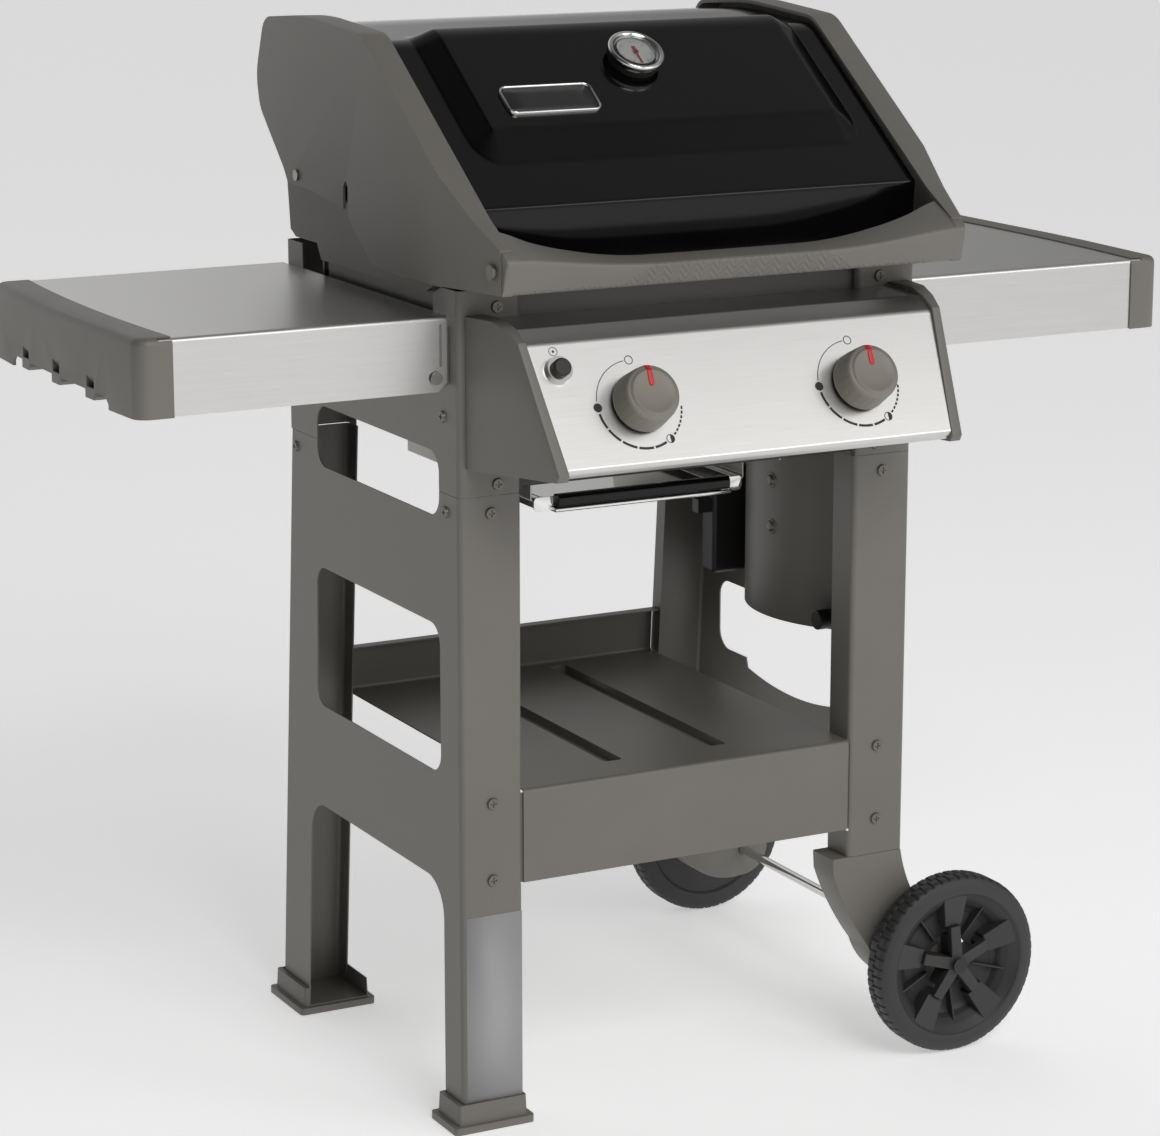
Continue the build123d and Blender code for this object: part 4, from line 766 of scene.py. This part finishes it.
def badge_rows(rows):
    """Stack of rounded outlines (half width, half height, radius, height over the lid)."""
    layers = []
    for half_width, half_height, radius, out in rows:
        outline = rounded_ring(half_width, half_height, radius)
        layers.append(badge_middle + outline[:, :1] * panel_across / 1000 + outline[:, 1:] * gauge_up / 1000
                      + out * gauge_out / 1000)
    return np.stack(layers)


rim_rows = [(53, 21, 9, -3.5), (53, 21, 9, 2.4), (52.4, 20.4, 8.6, 3.1), (51.6, 19.6, 8, 3.1),
            (50.9, 18.9, 7.4, 1.6), (50.7, 18.7, 7.2, 0.6)]
badge_rim = lay_surface("badge_rim", badge_rows(rim_rows), chrome_plate, loop_v=True)
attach(badge_rim, "lid")
field_rows = [(50.8, 18.8, 7.2, 0.5), (48.9, 16.9, 6.0, 0.5), (48.3, 16.3, 5.6, 1.5), (30, 8, 1, 1.5),
              (0.02, 0.02, 0.01, 1.5)]
badge_paint = mottled_finish("painted_badge_plate", "#2e2e2e", "#383838", 0.40, 0.05, 0.8, 0.01, Metallic=0.3)
badge_field = lay_surface("badge_field", badge_rows(field_rows), badge_paint, loop_v=True)
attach(badge_field, "lid")

# ------------------------------------------------------------------ leg label
# A blank paper label stuck on the front left leg from its foot upward, under a clear matt film
# that dulls it.

label_paper = mottled_finish("matt_film_label", "#9a9a9b", "#a2a2a3", 0.5, 0.04, 1.5, 0.004)
LABEL_X = (-0.265, -0.2005)  # metres, like the rest of its sizes
LABEL_Z = (0.017, 0.234)
LABEL_GAP = 0.00025
LABEL_SHEET = 0.0002
grid = np.array([[(x, LEG_FRONT - LABEL_GAP, z) for x in LABEL_X] for z in LABEL_Z])
label = lay_surface("leg_label", grid[::-1], label_paper)
film = label.modifiers.new("paper", "SOLIDIFY")
film.thickness = LABEL_SHEET
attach(label, "cart")

# ------------------------------------------------------------------ floor, light and camera
# A plain pale floor under a sky that darkens towards the zenith and on both sides, one broad soft
# key high over the front, and a weaker one to its right.

FLOOR_HALF = 60.0
floor_paint = mottled_finish("matt_floor_paint", "#f2f2f2", "#f5f5f5", 0.85, 0.03, 4.0, 0.01,
                             Emission_Color=linear("#ffffff"), Emission_Strength=0.42)
floor = lay_surface("studio_floor", np.array([[(x, y, -0.0005) for x in (-FLOOR_HALF, FLOOR_HALF)]
                                              for y in (FLOOR_HALF, -FLOOR_HALF)]), floor_paint)

world = bpy.data.worlds.new("studio_air")
bpy.context.scene.world = world
world.use_nodes = True
air = world.node_tree
direction = add(air, "ShaderNodeTexCoord").outputs["Generated"]
height = add(air, "ShaderNodeSeparateXYZ", {}, {"Vector": direction})
bands = add(air, "ShaderNodeValToRGB", {}, {"Fac": height.outputs["Z"]})
SKY = [(0.0, 1.0), (0.30, 0.85), (0.62, 0.62), (0.84, 0.30), (0.93, 0.24), (0.985, 0.05), (1.0, 0.03)]
SIDE = (0.94, 0.342, 0.0)    # the sky is darkest this way and the opposite way
for number, (where, level) in enumerate(SKY):
    stop = bands.color_ramp.elements[number] if number < 2 else bands.color_ramp.elements.new(where)
    stop.position = where
    stop.color = (level, level, level, 1)
side_on = add(air, "ShaderNodeVectorMath", {1: SIDE}, {0: direction}, operation="DOT_PRODUCT")
flags = [add(air, "ShaderNodeMapRange", {"From Min": near, "From Max": far, "To Min": 1.0, "To Max": level},
             {"Value": side_on.outputs["Value"]}, interpolation_type="SMOOTHSTEP").outputs["Result"]
         for near, far, level in ((0.45, 0.90, 0.22), (-0.10, -0.70, 0.05))]
both = add(air, "ShaderNodeMath", {}, {0: flags[0], 1: flags[1]}, operation="MULTIPLY")
shaded = add(air, "ShaderNodeVectorMath", {}, {0: bands.outputs["Color"], 1: both.outputs["Value"]},
             operation="MULTIPLY")
air.links.new(shaded.outputs["Vector"], air.nodes["Background"].inputs["Color"])
air.nodes["Background"].inputs["Strength"].default_value = 1.0

LAMPS = [("key_softbox", (-0.2, -4.2, 3.8), 2.4, 85), ("front_softbox", (2.9, -4.2, 3.0), 2.0, 26)]
aim = np.array([0, 0, 0.65])
for lamp_name, spot, size, power in LAMPS:
    lamp = bpy.data.lights.new(lamp_name, "AREA")
    lamp.shape = "SQUARE"
    lamp.size = size
    lamp.energy = power
    holder = bpy.data.objects.new(lamp_name, lamp)
    bpy.context.scene.collection.objects.link(holder)
    holder.location = spot
    away = np.array(spot) - aim
    flat = math.hypot(away[0], away[1])
    holder.rotation_euler = (math.atan2(flat, away[2]), 0, math.atan2(away[0], -away[1]))

VIEW_YAW = math.radians(27.70)
VIEW_DROP = math.radians(13.238)
VIEW_LENS = 110.64
VIEW_FROM = (-1.7948, LEG_FRONT - 3.1675, 1.4356)
eye = bpy.data.cameras.new("camera")
eye.lens = VIEW_LENS
eye.sensor_width = 36.0
camera = bpy.data.objects.new("camera", eye)
bpy.context.scene.collection.objects.link(camera)
camera.location = VIEW_FROM
camera.rotation_euler = (math.pi / 2 - VIEW_DROP, 0, -VIEW_YAW)
bpy.context.scene.camera = camera
bpy.context.scene.view_settings.view_transform = "Standard"
